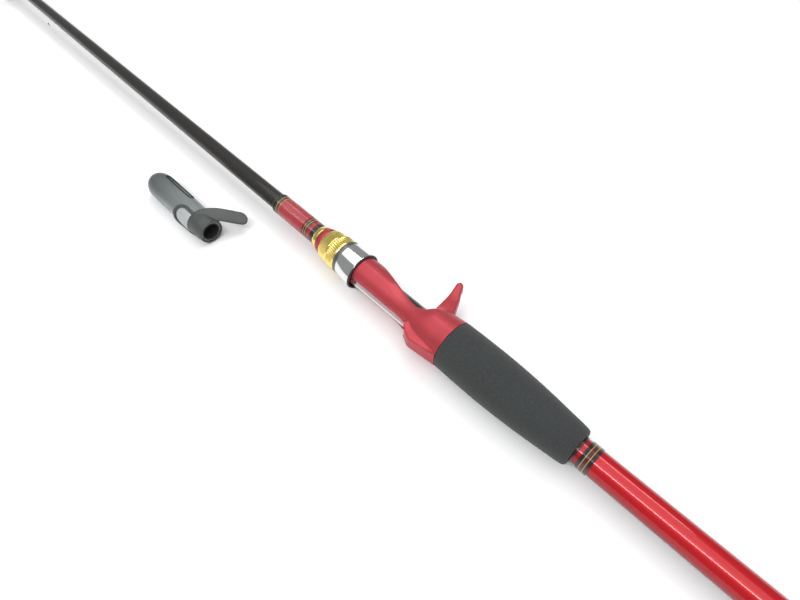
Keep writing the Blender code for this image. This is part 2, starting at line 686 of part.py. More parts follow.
def make_tip_cover():
    """The loose cover for the closed rod's front end: a slotted smoky shell and a rubber strap."""
    wall = 1.0
    centre = {"y": COVER_CENTRE_Y, "z": COVER_RADIUS - GRIP_RADIUS}
    dome = 13.0
    dome_start = COVER_END - dome
    outer = [(COVER_MOUTH, COVER_MOUTH_RADIUS), (COVER_SHOULDER, COVER_RADIUS), (dome_start, COVER_RADIUS)]
    outer += [(dome_start + dome * math.sin(a), COVER_RADIUS * math.cos(a))
              for a in (math.radians(22.5 * i) for i in range(1, 4))]
    outer.append((COVER_END, 0.0))
    inner = [(COVER_MOUTH - 1.0, COVER_MOUTH_RADIUS - wall), (COVER_SHOULDER, COVER_RADIUS - wall),
             (dome_start, COVER_RADIUS - wall)]
    inner += [(dome_start + (dome - wall) * math.sin(a), (COVER_RADIUS - wall) * math.cos(a))
              for a in (math.radians(22.5 * i) for i in range(1, 4))]
    inner.append((COVER_END - wall, 0.0))
    shell = turned("tip_cover_shell", "tip_cover", outer, **centre)
    hollow = turned("tip_cover_hollow", "tip_cover", inner, **centre)
    slot = block("tip_cover_slot", "tip_cover", (169.0, -1.8, 0.0), (201.0, 1.8, 20.0))
    slot.data.transform(Matrix.Translation((0.0, 0.0, 10.0 * MM)))
    slot.rotation_euler = (math.radians(40.0), 0.0, 0.0)
    slot.location = Vector((185.0 - COVER_MOUTH, centre["y"], centre["z"])) * MM
    bpy.context.view_layer.update()
    combine(shell, [hollow, slot], "DIFFERENCE")
    finish(shell, "smoke_plastic")

    band_rear = COVER_MOUTH - 0.8
    band_front = COVER_MOUTH + 14.0
    bore = [(station, COVER_MOUTH_RADIUS + SKIN_GAP + COVER_FLARE * (station - COVER_MOUTH))
            for station in (band_rear - 1.0, band_front + 1.0)]
    band = turned("tip_cover_strap", "tip_cover",
                  [(band_rear, STRAP_RADIUS - 0.5), (band_rear + 0.5, STRAP_RADIUS - 0.1),
                   (band_front - 0.5, STRAP_RADIUS + 0.7), (band_front, STRAP_RADIUS + 0.3)], **centre)
    tab = strap_tab()
    passage = turned("strap_bore", "tip_cover", bore, **centre)
    combine(band, [tab, strap_loop(centre)], "UNION")
    combine(band, [passage], "DIFFERENCE")
    finish(band, "strap_rubber")


def strap_loop(centre):
    """The strap's raised loop, bent over the shell in front of the band on the reel side."""
    rear, front, half, width = 12.0, 31.5, 9.4, 2.3
    shell = [(COVER_MOUTH + rear, COVER_MOUTH_RADIUS + COVER_FLARE * rear), (COVER_SHOULDER, COVER_RADIUS),
             (COVER_MOUTH + front, COVER_RADIUS)]
    loop = turned("strap_loop", "tip_cover", [(station, radius + 1.5) for station, radius in shell],
                  [(station, radius + 0.15) for station, radius in shell], **centre)
    bend = half - 1.5
    outer = [(rear - 1.0, -half)] + arc(front - bend, -half + bend, bend, -90.0, 0.0, 5)
    outer += arc(front - bend, half - bend, bend, 0.0, 90.0, 5) + [(rear - 1.0, half)]
    half -= width
    bend -= width
    front -= width
    outer += [(rear - 1.0, half)] + arc(front - bend, half - bend, bend, 90.0, 0.0, 5)
    outer += arc(front - bend, -half + bend, bend, 0.0, -90.0, 5) + [(rear - 1.0, -half)]
    path = extruded("strap_loop_path", "tip_cover", [outer], 16.0, COVER_MOUTH)
    path.data.transform(Matrix.Translation((0.0, 0.0, 10.0 * MM)))
    path.rotation_euler = (math.radians(-66.0), 0.0, 0.0)
    path.location = Vector((0.0, centre["y"], centre["z"])) * MM
    combine(loop, [path], "INTERSECT")
    return loop


def strap_tab():
    """The strap's loose tab: a round-ended strip that leans back from the band and droops."""
    half = 4.5
    root = Vector((9.5, 44.8, 0.8))
    run = Vector((-6.5, 25.0, -7.0)) - root
    outline = [(0.0, half), (0.0, -half)] + arc(run.length, 0.0, half, -90.0, 90.0, 8)
    tab = extruded("strap_tab", "tip_cover", [outline], 1.7, COVER_MOUTH + root.x, root.y, root.z)
    tab.rotation_euler = (0.0, -math.asin(run.z / run.length), math.atan2(run.y, run.x))
    return tab


clear_scene()
PARTS = new_collection(OBJECT_NAME)
TOOLS = new_collection("cutters")
MATERIALS = make_materials()
FRAMES = make_frames()
bpy.context.view_layer.update()

make_handle_tubes()
make_grip()
make_wraps()
make_mouth_ring()
make_hook_keeper()
make_butt()
make_reel_seat()
make_seat_fittings()
make_hood()
make_nut()
make_sections()
for guide_name in GUIDES:
    make_guide(guide_name)
make_tip_top()
make_tip_cover()
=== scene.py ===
"""Looks of the telescopic casting rod and its loose tip cover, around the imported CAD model.

World frame: +X runs from the butt to the tip, +Y is the reel and guide side, +Z is up. Lengths are
in millimetres until MM turns them into metres. A station is a distance along the rod from the reel
seat's reference point. Angles round the rod are counted from +Y towards +Z.
"""

import json
import math

import bmesh
import bpy
from mathutils import Matrix, Vector


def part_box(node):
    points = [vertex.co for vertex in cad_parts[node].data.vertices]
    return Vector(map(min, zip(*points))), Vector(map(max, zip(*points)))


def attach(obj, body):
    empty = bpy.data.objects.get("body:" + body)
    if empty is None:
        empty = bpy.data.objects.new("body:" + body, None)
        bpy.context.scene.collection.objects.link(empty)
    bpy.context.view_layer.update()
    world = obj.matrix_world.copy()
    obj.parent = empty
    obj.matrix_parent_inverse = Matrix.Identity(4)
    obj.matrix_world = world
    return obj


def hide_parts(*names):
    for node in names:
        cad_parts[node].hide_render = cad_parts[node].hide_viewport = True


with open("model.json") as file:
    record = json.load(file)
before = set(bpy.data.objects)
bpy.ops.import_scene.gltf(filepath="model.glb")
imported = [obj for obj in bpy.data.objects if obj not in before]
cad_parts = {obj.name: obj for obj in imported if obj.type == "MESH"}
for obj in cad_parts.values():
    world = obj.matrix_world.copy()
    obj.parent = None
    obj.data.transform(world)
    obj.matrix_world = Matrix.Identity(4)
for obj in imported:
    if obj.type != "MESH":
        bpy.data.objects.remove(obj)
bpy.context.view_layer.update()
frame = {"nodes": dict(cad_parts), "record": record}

MM = 0.001
SEAT_REAR = -45.0
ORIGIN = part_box("reel_seat")[0].x / MM - SEAT_REAR     # butt face to station 0
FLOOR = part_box("rear_grip")[0].z
FINE = 96                                              # sides of the handle's round pieces
SLIM = 64                                              # sides of the slim sections
GAP = 0.3

# Each telescoping section: rear and front radius, and wall.
TAPERS = {"section_2": (6.42, 4.40), "section_3": (3.87, 2.80), "section_4": (2.40, 1.60),
          "section_5": (1.22, 0.75)}
SLIDE_GAP = 0.15


# ---------------------------------------------------------------- measures from the frame

def ends(node):
    """The stations of a CAD node's rear and front end."""
    low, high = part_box(node)
    return low.x / MM - ORIGIN, high.x / MM - ORIGIN


def radius_of(node):
    """Half of a round CAD node's width."""
    low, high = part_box(node)
    return (high.z - low.z) / 2 / MM


def centre_of(node):
    """The y and z of the middle of a CAD node."""
    low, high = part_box(node)
    return (low.y + high.y) / 2 / MM, (low.z + high.z) / 2 / MM


def blank_radius(station):
    return 7.25 + (6.7 - 7.25) * (station + 335.0) / (121.0 + 335.0)


def sleeve_radius(station):
    return 7.9 + (8.6 - 7.9) * (-48.0 - station) / (-48.0 + 352.0)


def section_radius(name, station):
    rear, front = ends(name)
    rear_radius, front_radius = TAPERS[name]
    return rear_radius + (front_radius - rear_radius) * (station - rear) / (front - rear)


# ---------------------------------------------------------------- material helpers

class Graph:
    """A material's node tree with short calls for the nodes that the finishes use."""

    def __init__(self, name, colour, roughness, metallic=0.0):
        self.material = bpy.data.materials.new(name)
        self.material.use_nodes = True
        self.nodes = self.material.node_tree.nodes
        self.links = self.material.node_tree.links
        self.shader = self.nodes["Principled BSDF"]
        self.put("Base Color", (*colour, 1.0))
        self.put("Roughness", roughness)
        self.put("Metallic", metallic)
        coordinates = self.nodes.new("ShaderNodeTexCoord")
        self.place = coordinates.outputs["Object"]
        self.bumps = None

    def put(self, socket, value):
        self.shader.inputs[socket].default_value = value

    def link(self, output, target):
        self.links.new(output, target)
        return target

    def maths(self, operation, *values):
        node = self.nodes.new("ShaderNodeMath")
        node.operation = operation
        for socket, value in zip(node.inputs, values):
            if isinstance(value, (int, float)):
                socket.default_value = value
            else:
                self.links.new(value, socket)
        return node.outputs[0]

    def noise(self, scale, detail=3.0, stretch=(1.0, 1.0, 1.0)):
        """Noise of about 1/scale metres, stretched along the axes."""
        mapping = self.nodes.new("ShaderNodeMapping")
        mapping.inputs["Scale"].default_value = stretch
        self.links.new(self.place, mapping.inputs["Vector"])
        node = self.nodes.new("ShaderNodeTexNoise")
        node.inputs["Scale"].default_value = scale
        node.inputs["Detail"].default_value = detail
        self.links.new(mapping.outputs[0], node.inputs["Vector"])
        return node.outputs["Fac"]

    def pores(self, scale):
        node = self.nodes.new("ShaderNodeTexVoronoi")
        node.inputs["Scale"].default_value = scale
        self.links.new(self.place, node.inputs["Vector"])
        return node.outputs["Distance"]

    def axes(self):
        """X, Y and Z of the surface point, in metres."""
        split = self.nodes.new("ShaderNodeSeparateXYZ")
        self.links.new(self.place, split.inputs[0])
        return split.outputs

    def spread(self, value, low, high, to_low, to_high):
        """Map a value's range onto another."""
        node = self.nodes.new("ShaderNodeMapRange")
        for socket, number in zip(node.inputs[1:5], (low, high, to_low, to_high)):
            socket.default_value = number
        self.links.new(value, node.inputs[0])
        return node.outputs[0]

    def ramp(self, value, stops, stepped=False):
        """Colours at positions from 0 to 1 along a value."""
        node = self.nodes.new("ShaderNodeValToRGB")
        if stepped:
            node.color_ramp.interpolation = "CONSTANT"
        elements = node.color_ramp.elements
        while len(elements) < len(stops):
            elements.new(0.5)
        for element, (position, colour) in zip(elements, stops):
            element.position = position
            element.color = (*colour, 1.0)
        self.links.new(value, node.inputs[0])
        return node.outputs[0]

    def mix(self, amount, first, second):
        node = self.nodes.new("ShaderNodeMix")
        node.data_type = "RGBA"
        for socket, value in ((node.inputs[0], amount), (node.inputs[6], first), (node.inputs[7], second)):
            if isinstance(value, tuple):
                socket.default_value = (*value, 1.0)
            elif isinstance(value, float):
                socket.default_value = value
            else:
                self.links.new(value, socket)
        return node.outputs[2]

    def bump(self, height, distance, strength=1.0):
        """Add a bump of a real height, in metres, on top of those before it."""
        node = self.nodes.new("ShaderNodeBump")
        node.inputs["Strength"].default_value = strength
        node.inputs["Distance"].default_value = distance
        self.links.new(height, node.inputs["Height"])
        if self.bumps:
            self.links.new(self.bumps, node.inputs["Normal"])
        self.bumps = node.outputs[0]
        self.links.new(self.bumps, self.shader.inputs["Normal"])

    def colour(self, output):
        self.links.new(output, self.shader.inputs["Base Color"])

    def roughness(self, output):
        self.links.new(output, self.shader.inputs["Roughness"])

    def coat(self, weight, roughness):
        self.put("Coat Weight", weight)
        self.put("Coat Roughness", roughness)


def shades(colour, change):
    """A darker and a lighter version of a colour."""
    dark = tuple(c * (1.0 - change) for c in colour)
    light = tuple(min(1.0, c * (1.0 + change)) for c in colour)
    return dark, light


def moulded(name, colour, roughness, metallic=0.0, change=0.12, grain=900.0, depth=0.00001, coat=0.0):
    """A moulded or painted surface: soft mottling, uneven roughness and a fine grain."""
    g = Graph(name, colour, roughness, metallic)
    cloud = g.noise(60.0)
    fine = g.noise(grain, 4.0)
    dark, light = shades(colour, change)
    g.colour(g.ramp(cloud, [(0.3, dark), (0.7, light)]))
    g.roughness(g.spread(fine, 0.3, 0.7, roughness * 0.85, min(1.0, roughness * 1.15)))
    g.bump(fine, depth)
    if coat:
        g.coat(coat, 0.03)
    return g.material


def turned_metal(name, colour, roughness, rings=9000.0, change=0.04):
    """Metal with the faint rings of a lathe, across the rod's axis."""
    g = Graph(name, colour, roughness, 1.0)
    tool_marks = g.noise(1.0, 2.0, (rings, 40.0, 40.0))
    wear = g.noise(250.0, 4.0)
    dark, light = shades(colour, change)
    g.colour(g.ramp(wear, [(0.35, dark), (0.65, light)]))
    g.roughness(g.spread(tool_marks, 0.3, 0.7, roughness * 0.7, roughness * 1.4))
    g.bump(tool_marks, 0.000004)
    return g.material


def banded_thread(name, bands, pitch=0.30):
    """Varnished thread. Bands are (rear station, colour), rear to front."""
    g = Graph(name, bands[0][1], 0.34)
    first = bands[0][0]
    length = 40.0
    x = g.axes()[0]
    along = g.spread(x, (ORIGIN + first) * MM, (ORIGIN + first + length) * MM, 0.0, 1.0)
    stops = [((station - first) / length, colour) for station, colour in bands]
    base = g.ramp(along, stops, stepped=True)
    turns = g.maths("SINE", g.maths("MULTIPLY", x, 2 * math.pi / (pitch * MM)))
    lit = g.spread(turns, -1.0, 1.0, 0.0, 0.45)
    strands = g.noise(2500.0, 3.0)
    shade = g.mix(lit, base, g.mix(strands, (0.0, 0.0, 0.0), base))
    g.colour(shade)
    g.bump(turns, 0.00002)
    g.coat(0.6, 0.04)
    return g.material


def carbon(name):
    """Woven carbon cloth under clear varnish, wound round the rod's axis."""
    g = Graph(name, (0.016, 0.018, 0.017), 0.36)
    x, y, z = g.axes()
    angle = g.maths("ARCTAN2", z, y)
    turn = g.maths("MULTIPLY", angle, 14.0)
    run = g.maths("MULTIPLY", x, 2 * math.pi / (3.0 * MM))
    right = g.maths("SINE", g.maths("ADD", turn, run))
    left = g.maths("SINE", g.maths("SUBTRACT", turn, run))
    cell = g.maths("MULTIPLY", right, left)
    fibres = g.noise(1.0, 3.0, (600.0, 9000.0, 9000.0))
    weave = g.ramp(g.spread(cell, -1.0, 1.0, 0.0, 1.0),
                   [(0.28, (0.002, 0.003, 0.003)), (0.50, (0.008, 0.010, 0.009)), (0.75, (0.085, 0.074, 0.064))])
    g.colour(g.mix(g.spread(fibres, 0.35, 0.65, 0.0, 0.65), weave, (0.006, 0.007, 0.007)))
    g.roughness(g.spread(cell, -1.0, 1.0, 0.26, 0.46))
    g.bump(cell, 0.00001)
    g.put("Specular IOR Level", 0.2)
    g.coat(0.35, 0.03)
    return g.material


def candy(name):
    """Transparent red over metallic flakes, under a hard gloss, with painted shade: the red turns dark maroon where
    ambient occlusion finds surfaces close by.
    """
    g = Graph(name, (0.50, 0.010, 0.018), 0.34, 0.20)
    flakes = g.pores(5200.0)
    cloud = g.noise(30.0)
    red = g.ramp(flakes, [(0.0, (0.66, 0.020, 0.030)), (0.5, (0.52, 0.010, 0.018)), (1.0, (0.36, 0.004, 0.010))])
    # Painted shade: ambient occlusion darkens the colour towards maroon near the floor and in recesses.
    painted_shade_occlusion = g.nodes.new("ShaderNodeAmbientOcclusion")
    painted_shade_occlusion.inputs["Distance"].default_value = 0.04
    painted_shade_depth = g.spread(painted_shade_occlusion.outputs["AO"], 0.55, 1.0, 1.0, 0.0)
    red = g.mix(g.spread(cloud, 0.3, 0.7, 0.0, 0.20), red, (0.36, 0.004, 0.010))
    g.colour(g.mix(painted_shade_depth, red, (0.085, 0.002, 0.008)))
    g.roughness(g.spread(flakes, 0.0, 1.0, 0.28, 0.42))
    g.coat(1.0, 0.015)
    g.put("Coat IOR", 1.40)
    g.put("Coat Tint", (0.85, 0.32, 0.38, 1.0))
    return g.material


def satin(name):
    """The reel seat's satin red: a metallic paint with a fine sparkle, and a painted highlight that turns its sharp
    convex edges pale pink.
    """
    g = Graph(name, (0.44, 0.046, 0.060), 0.50, 0.60)
    flakes = g.pores(6000.0)
    cloud = g.noise(45.0, 2.0)
    geometry = g.nodes.new("ShaderNodeNewGeometry")
    red = g.ramp(cloud, [(0.3, (0.40, 0.040, 0.052)), (0.7, (0.47, 0.050, 0.064))])
    # Painted highlight: convex edges, found by pointiness, are mixed towards pale pink.
    edge = g.spread(geometry.outputs["Pointiness"], 0.52, 0.60, 0.0, 0.30)
    g.colour(g.mix(edge, red, (0.66, 0.16, 0.17)))
    g.roughness(g.spread(flakes, 0.0, 1.0, 0.42, 0.58))
    g.bump(flakes, 0.000006)
    g.coat(0.15, 0.25)
    return g.material


def foam(name):
    """Closed-cell grip foam: fine cut cells, a few deeper pits and pale dust in them."""
    g = Graph(name, (0.040, 0.044, 0.044), 0.92)
    cells = g.pores(2600.0)
    grain = g.noise(1500.0, 5.0)
    cloud = g.noise(35.0, 3.0)
    speckle = g.ramp(grain, [(0.30, (0.013, 0.015, 0.015)), (0.55, (0.026, 0.029, 0.029)), (0.78, (0.060, 0.065, 0.065))])
    g.colour(g.mix(g.spread(cloud, 0.3, 0.7, 0.0, 0.30), speckle, (0.034, 0.038, 0.038)))
    g.roughness(g.spread(grain, 0.3, 0.7, 0.82, 1.0))
    g.bump(cells, 0.00012, 0.6)
    g.bump(grain, 0.00006, 0.7)
    g.put("Sheen Weight", 0.08)
    g.put("Sheen Roughness", 0.6)
    return g.material


def smoke(name):
    """Smoky translucent plastic with a fine texture."""
    g = Graph(name, (0.58, 0.62, 0.62), 0.26)
    cloud = g.noise(70.0)
    fine = g.noise(1500.0, 4.0)
    clear = g.ramp(cloud, [(0.3, (0.54, 0.585, 0.585)), (0.7, (0.66, 0.70, 0.70))])
    rear, front = ends("tip_cover_shell")
    towards_end = g.spread(g.axes()[0], (ORIGIN + rear + 36.0) * MM, (ORIGIN + front) * MM, 0.0, 0.85)
    g.colour(g.mix(towards_end, clear, (0.13, 0.145, 0.145)))
    g.roughness(g.spread(fine, 0.3, 0.7, 0.26, 0.40))
    g.bump(fine, 0.00001)
    g.put("Transmission Weight", 0.85)
    g.put("IOR", 1.49)
    return g.material


def inlay(name):
    """The glossy inlay: a pinkish grey strip on its +Z side, a painted reflection of the red seat walls, and a pale
    strip on its -Z side, a painted highlight, with a dark red line between them.
    """
    g = Graph(name, (0.4, 0.3, 0.3), 0.14, 0.6)
    across = g.spread(g.axes()[2], -4.0 * MM, 4.0 * MM, 0.0, 1.0)
    # Painted reflection and highlight: pale below z = 0, pinkish grey above the dark red line.
    g.colour(g.ramp(across, [(0.0, (0.62, 0.60, 0.60)), (0.50, (0.10, 0.012, 0.016)), (0.55, (0.36, 0.20, 0.21))],
                    stepped=True))
    streaks = g.noise(1.0, 3.0, (60.0, 2500.0, 2500.0))
    g.roughness(g.spread(streaks, 0.3, 0.7, 0.08, 0.22))
    g.bump(streaks, 0.000003)
    g.coat(0.6, 0.03)
    return g.material


BLACK = (0.005, 0.005, 0.005)
GOLD = (0.46, 0.26, 0.070)
BROWN = (0.060, 0.020, 0.012)
MAROON = (0.085, 0.009, 0.012)
RED = (0.36, 0.012, 0.022)

MATERIALS = {
    "carbon_black": carbon("carbon_black"),
    "candy_red": candy("candy_red"),
    "satin_red": satin("satin_red"),
    "grip_foam": foam("grip_foam"),
    "smoke_plastic": smoke("smoke_plastic"),
    "saddle_gloss": inlay("saddle_gloss"),
    "black_plastic": moulded("black_plastic", (0.014, 0.015, 0.015), 0.38),
    "bush_grey": moulded("bush_grey", (0.30, 0.30, 0.28), 0.80, grain=500.0, depth=0.00004),
    "rubber_black": moulded("rubber_black", (0.020, 0.020, 0.020), 0.72, grain=1400.0, depth=0.00003),
    "strap_rubber": moulded("strap_rubber", (0.050, 0.056, 0.054), 0.44, grain=1400.0, depth=0.00002),
    "pale_smoke": moulded("pale_smoke", (0.36, 0.38, 0.38), 0.34, grain=1500.0),
    "guide_ceramic": moulded("guide_ceramic", (0.045, 0.045, 0.050), 0.08, coat=1.0),
    "grey_metal": turned_metal("grey_metal", (0.16, 0.17, 0.16), 0.42),
    "bright_metal": turned_metal("bright_metal", (0.74, 0.74, 0.73), 0.10),
    "gold_metal": turned_metal("gold_metal", (0.95, 0.74, 0.22), 0.22),
    "guide_steel": turned_metal("guide_steel", (0.22, 0.22, 0.235), 0.22),
    "thread_black": banded_thread("thread_black", [(-140.0, BLACK), (-130.0, BLACK)]),
    "thread_red": banded_thread("thread_red", [(89.0, (0.40, 0.030, 0.042)), (120.0, (0.40, 0.030, 0.042))]),
    "rear_bands": banded_thread("rear_bands", [
        (-147.7, BLACK), (-145.7, GOLD), (-145.2, MAROON), (-143.3, GOLD), (-142.8, BLACK)]),
    "fore_bands": banded_thread("fore_bands", [
        (77.5, BLACK), (80.7, RED), (84.0, BLACK), (85.1, GOLD), (85.7, BROWN), (87.2, GOLD), (87.8, BLACK)]),
    "mouth_bands": banded_thread("mouth_bands", [
        (114.4, GOLD), (115.1, BROWN), (117.0, GOLD), (117.6, BLACK)]),
}


# ---------------------------------------------------------------- mesh helpers

def add_object(name, mesh):
    obj = bpy.data.objects.new(name, mesh)
    bpy.context.scene.collection.objects.link(obj)
    return obj


def settle(obj, body, slot, material=None, nodes=(), sharp=35.0):
    """Give a piece its shading, material and body, and hide the CAD nodes it stands for."""
    obj.data.shade_smooth()
    obj.data.set_sharp_from_angle(angle=math.radians(sharp))
    obj.data.materials.clear()
    obj.data.materials.append(MATERIALS[material or slot])
    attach(obj, body)
    if nodes:
        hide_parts(*nodes)
    return obj


def baked(obj):
    """Apply the object's modifiers."""
    depsgraph = bpy.context.evaluated_depsgraph_get()
    mesh = bpy.data.meshes.new_from_object(obj.evaluated_get(depsgraph))
    obj.modifiers.clear()
    obj.data = mesh
    return obj


def revolved(name, profile, y=0.0, z=0.0, sides=FINE, closed=True, shape=None):
    """Turn (station, radius) points about a line along X. Shape may change a radius by its angle."""
    grid = bmesh.new()
    rings = []
    for station, radius in profile:
        x = (ORIGIN + station) * MM
        if radius < 0.001:
            rings.append([grid.verts.new((x, y * MM, z * MM))])
            continue
        ring = []
        for i in range(sides):
            angle = 2 * math.pi * i / sides
            reach = shape(station, angle, radius) if shape else radius
            ring.append(grid.verts.new((x, (y + reach * math.cos(angle)) * MM, (z + reach * math.sin(angle)) * MM)))
        rings.append(ring)
    following = rings[1:] + (rings[:1] if closed else [])
    for ring, after in zip(rings, following):
        for i in range(sides):
            corners = [ring[i % len(ring)], ring[(i + 1) % len(ring)],
                       after[(i + 1) % len(after)], after[i % len(after)]]
            corners = list(dict.fromkeys(corners))
            if len(corners) > 2:
                grid.faces.new(corners)
    bmesh.ops.recalc_face_normals(grid, faces=grid.faces)
    mesh = bpy.data.meshes.new(name)
    grid.to_mesh(mesh)
    grid.free()
    return add_object(name, mesh)


def softened(points, size, closed=True):
    """Round a profile's corners by up to size."""
    line = []
    for i, point in enumerate(points):
        if not closed and i in (0, len(points) - 1):
            line.append(point)
            continue
        corner = Vector(point)
        back = Vector(points[i - 1]) - corner
        ahead = Vector(points[(i + 1) % len(points)]) - corner
        if back.length < 1e-6 or ahead.length < 1e-6 or abs(back.angle(ahead) - math.pi) < 0.03:
            line.append(point)
            continue
        start = corner + back.normalized() * min(size, back.length * 0.45)
        end = corner + ahead.normalized() * min(size, ahead.length * 0.45)
        for t in (0.0, 0.3, 0.7, 1.0):
            line.append(tuple(start * (1 - t) ** 2 + corner * 2 * t * (1 - t) + end * t * t))
    return line


def sleeve(name, outer, inner, rounding=0.15, **how):
    """A turned ring from its outer and inner profile, rear to front, with softened edges."""
    return revolved(name, softened(list(outer) + list(reversed(inner)), rounding), **how)


def spline(points, steps):
    """A Catmull-Rom curve through a few points."""
    line = []
    chain = [points[0]] + list(points) + [points[-1]]
    for p0, p1, p2, p3 in zip(chain, chain[1:], chain[2:], chain[3:]):
        for i in range(steps):
            t = i / steps
            line.append(tuple(
                0.5 * (2 * b + (c - a) * t + (2 * a - 5 * b + 4 * c - d) * t * t
                       + (3 * b - a - 3 * c + d) * t ** 3)
                for a, b, c, d in zip(p0, p1, p2, p3)))
    line.append(tuple(points[-1]))
    return line


def prism(name, outline, low, high, facing="Z", squeeze=None):
    """Extrude an outline of (station, y) points along Z, or of (station, z) points along Y."""
    grid = bmesh.new()
    layers = []
    steps = 8
    for k in range(steps + 1):
        level = low + (high - low) * k / steps
        layer = []
        for u, v in outline:
            depth = level * (squeeze(v) if squeeze else 1.0)
            spot = (ORIGIN + u, v, depth) if facing == "Z" else (ORIGIN + u, depth, v)
            layer.append(grid.verts.new(Vector(spot) * MM))
        layers.append(layer)
    for below, above in zip(layers, layers[1:]):
        for i in range(len(outline)):
            j = (i + 1) % len(outline)
            grid.faces.new((below[i], below[j], above[j], above[i]))
    grid.faces.new(layers[0])
    grid.faces.new(layers[-1])
    bmesh.ops.triangulate(grid, faces=[f for f in grid.faces if len(f.verts) > 4])
    bmesh.ops.recalc_face_normals(grid, faces=grid.faces)
    mesh = bpy.data.meshes.new(name)
    grid.to_mesh(mesh)
    grid.free()
    return add_object(name, mesh)


def boolean(target, tools, operation):
    """Join the tools to the target or cut them out of it, then drop them."""
    for tool in tools:
        modifier = target.modifiers.new(operation.lower(), "BOOLEAN")
        modifier.operation = operation
        modifier.object = tool
    bpy.context.view_layer.update()
    baked(target)
    for tool in tools:
        bpy.data.objects.remove(tool, do_unlink=True)
    return target


def moulded_whole(obj, voxel, rounds):
    """Remesh a joined solid evenly and relax it, which leaves soft fillets at its joins."""
    remesh = obj.modifiers.new("even", "REMESH")
    remesh.mode = "VOXEL"
    remesh.voxel_size = voxel * MM
    relax = obj.modifiers.new("relax", "SMOOTH")
    relax.factor = 0.5
    relax.iterations = rounds
    bpy.context.view_layer.update()
    return baked(obj)


def tidy_mesh(obj):
    """Weld what a Boolean leaves behind."""
    grid = bmesh.new()
    grid.from_mesh(obj.data)
    bmesh.ops.remove_doubles(grid, verts=grid.verts, dist=0.000005)
    bmesh.ops.dissolve_degenerate(grid, edges=grid.edges, dist=0.000002)
    grid.to_mesh(obj.data)
    grid.free()
    return obj


# ---------------------------------------------------------------- the handle

def make_tubes():
    rear, front = ends("handle_blank")
    outer = [(rear, blank_radius(rear)), (front, blank_radius(front))]
    overlap = ends("section_2")[0]
    inner = [(rear, 6.75), (overlap, TAPERS["section_2"][0] + SLIDE_GAP),
             (front, section_radius("section_2", front) + SLIDE_GAP)]
    settle(sleeve("blank_tube", outer, inner), "handle", "carbon_black", nodes=["handle_blank"])

    rear, front = ends("butt_sleeve")
    bore = blank_radius(ends("handle_blank")[0]) + 0.1
    tube = sleeve("red_sleeve", [(rear, sleeve_radius(rear)), (front, sleeve_radius(front))],
                  [(rear, bore), (front, bore)], 0.3)
    settle(tube, "handle", "candy_red", nodes=["butt_sleeve"])


def make_grip():
    rear, front = ends("rear_grip")
    widest = radius_of("rear_grip")
    outline = spline([
        (rear + 1.6, 12.0), (-130.8, 12.6), (-120.5, 13.55), (-111.0, 14.45), (-99.0, 15.35), (-87.0, 15.95),
        (-76.0, widest - 0.04), (-66.0, widest), (-56.0, widest - 0.05), (front - 0.5, 16.05)], 6)
    bore = sleeve_radius(rear) + 0.15
    shoulder = [(rear, 9.8), (rear + 0.1, 10.7), (rear + 0.6, 11.5)]
    profile = shoulder + outline + [(front, 15.7), (front, bore), (rear, bore)]
    grip = settle(revolved("foam_grip", profile, sides=128), "handle", "grip_foam", nodes=["rear_grip"])


def thread_wrap(name, node, surface, thickness, body, slot, material, sides=FINE, pitch=0.30):
    """Turns of thread side by side, with the varnish thinning towards both ends."""
    rear, front = ends(node)
    steps = max(4, round((front - rear) / (pitch / 4)))
    outer = []
    for k in range(steps + 1):
        station = rear + (front - rear) * k / steps
        edge = min(1.0, min(station - rear, front - station) / 0.35)
        swell = math.sqrt(max(0.0, 1.0 - (1.0 - edge) ** 2))
        ridge = 0.05 * abs(math.sin(math.pi * (station - rear) / pitch))
        outer.append((station, surface(station) + 0.12 + thickness * (0.35 + 0.55 * swell) + ridge * swell))
    inner = [(rear, surface(rear) + 0.1), (front, surface(front) + 0.1)]
    wrap = revolved(name, outer + inner[::-1], sides=sides)
    settle(wrap, body, slot, material, [node])


def make_wraps():
    thread_wrap("edge_thread", "rear_edge_wrap", sleeve_radius, 0.35, "handle", "thread_black", None)
    thread_wrap("rear_threads", "rear_band_wrap", sleeve_radius, 0.35, "handle", "thread_maroon", "rear_bands")
    thread_wrap("fore_threads", "fore_band_wrap", blank_radius, 0.45, "handle", "thread_maroon", "fore_bands")
    thread_wrap("keeper_threads", "keeper_wrap", blank_radius, 0.5, "handle", "thread_red", None)
    thread_wrap("mouth_threads", "mouth_band_wrap", blank_radius, 0.45, "handle", "thread_black", "mouth_bands")


def make_keeper():
    """The hook keeper: a wire bridge with wrapped feet."""
    low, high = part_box("hook_keeper")
    middle = (low.x + high.x) / 2 / MM
    foot, top = low.y / MM, high.y / MM - 0.45
    half = (high.x - low.x) / 2 / MM - 0.5
    route = spline([(-half, foot), (-half, foot + 1.2), (-half + 0.5, top - 0.5), (-half + 1.5, top),
                    (half - 1.5, top), (half - 0.5, top - 0.5), (half, foot + 1.2), (half, foot)], 5)
    curve = bpy.data.curves.new("keeper_path", "CURVE")
    curve.dimensions = "3D"
    curve.bevel_depth = 0.45 * MM
    curve.bevel_resolution = 4
    curve.use_fill_caps = True
    path = curve.splines.new("POLY")
    path.points.add(len(route) - 1)
    for point, (u, v) in zip(path.points, route):
        point.co = ((ORIGIN + middle + u) * MM, v * MM, 0.0, 1.0)
    source = add_object("keeper_path", curve)
    bpy.context.view_layer.update()
    mesh = bpy.data.meshes.new_from_object(source.evaluated_get(bpy.context.evaluated_depsgraph_get()))
    bpy.data.objects.remove(source, do_unlink=True)
    wire = tidy_mesh(add_object("keeper_wire", mesh))
    settle(wire, "handle", "bright_metal", nodes=["hook_keeper"])


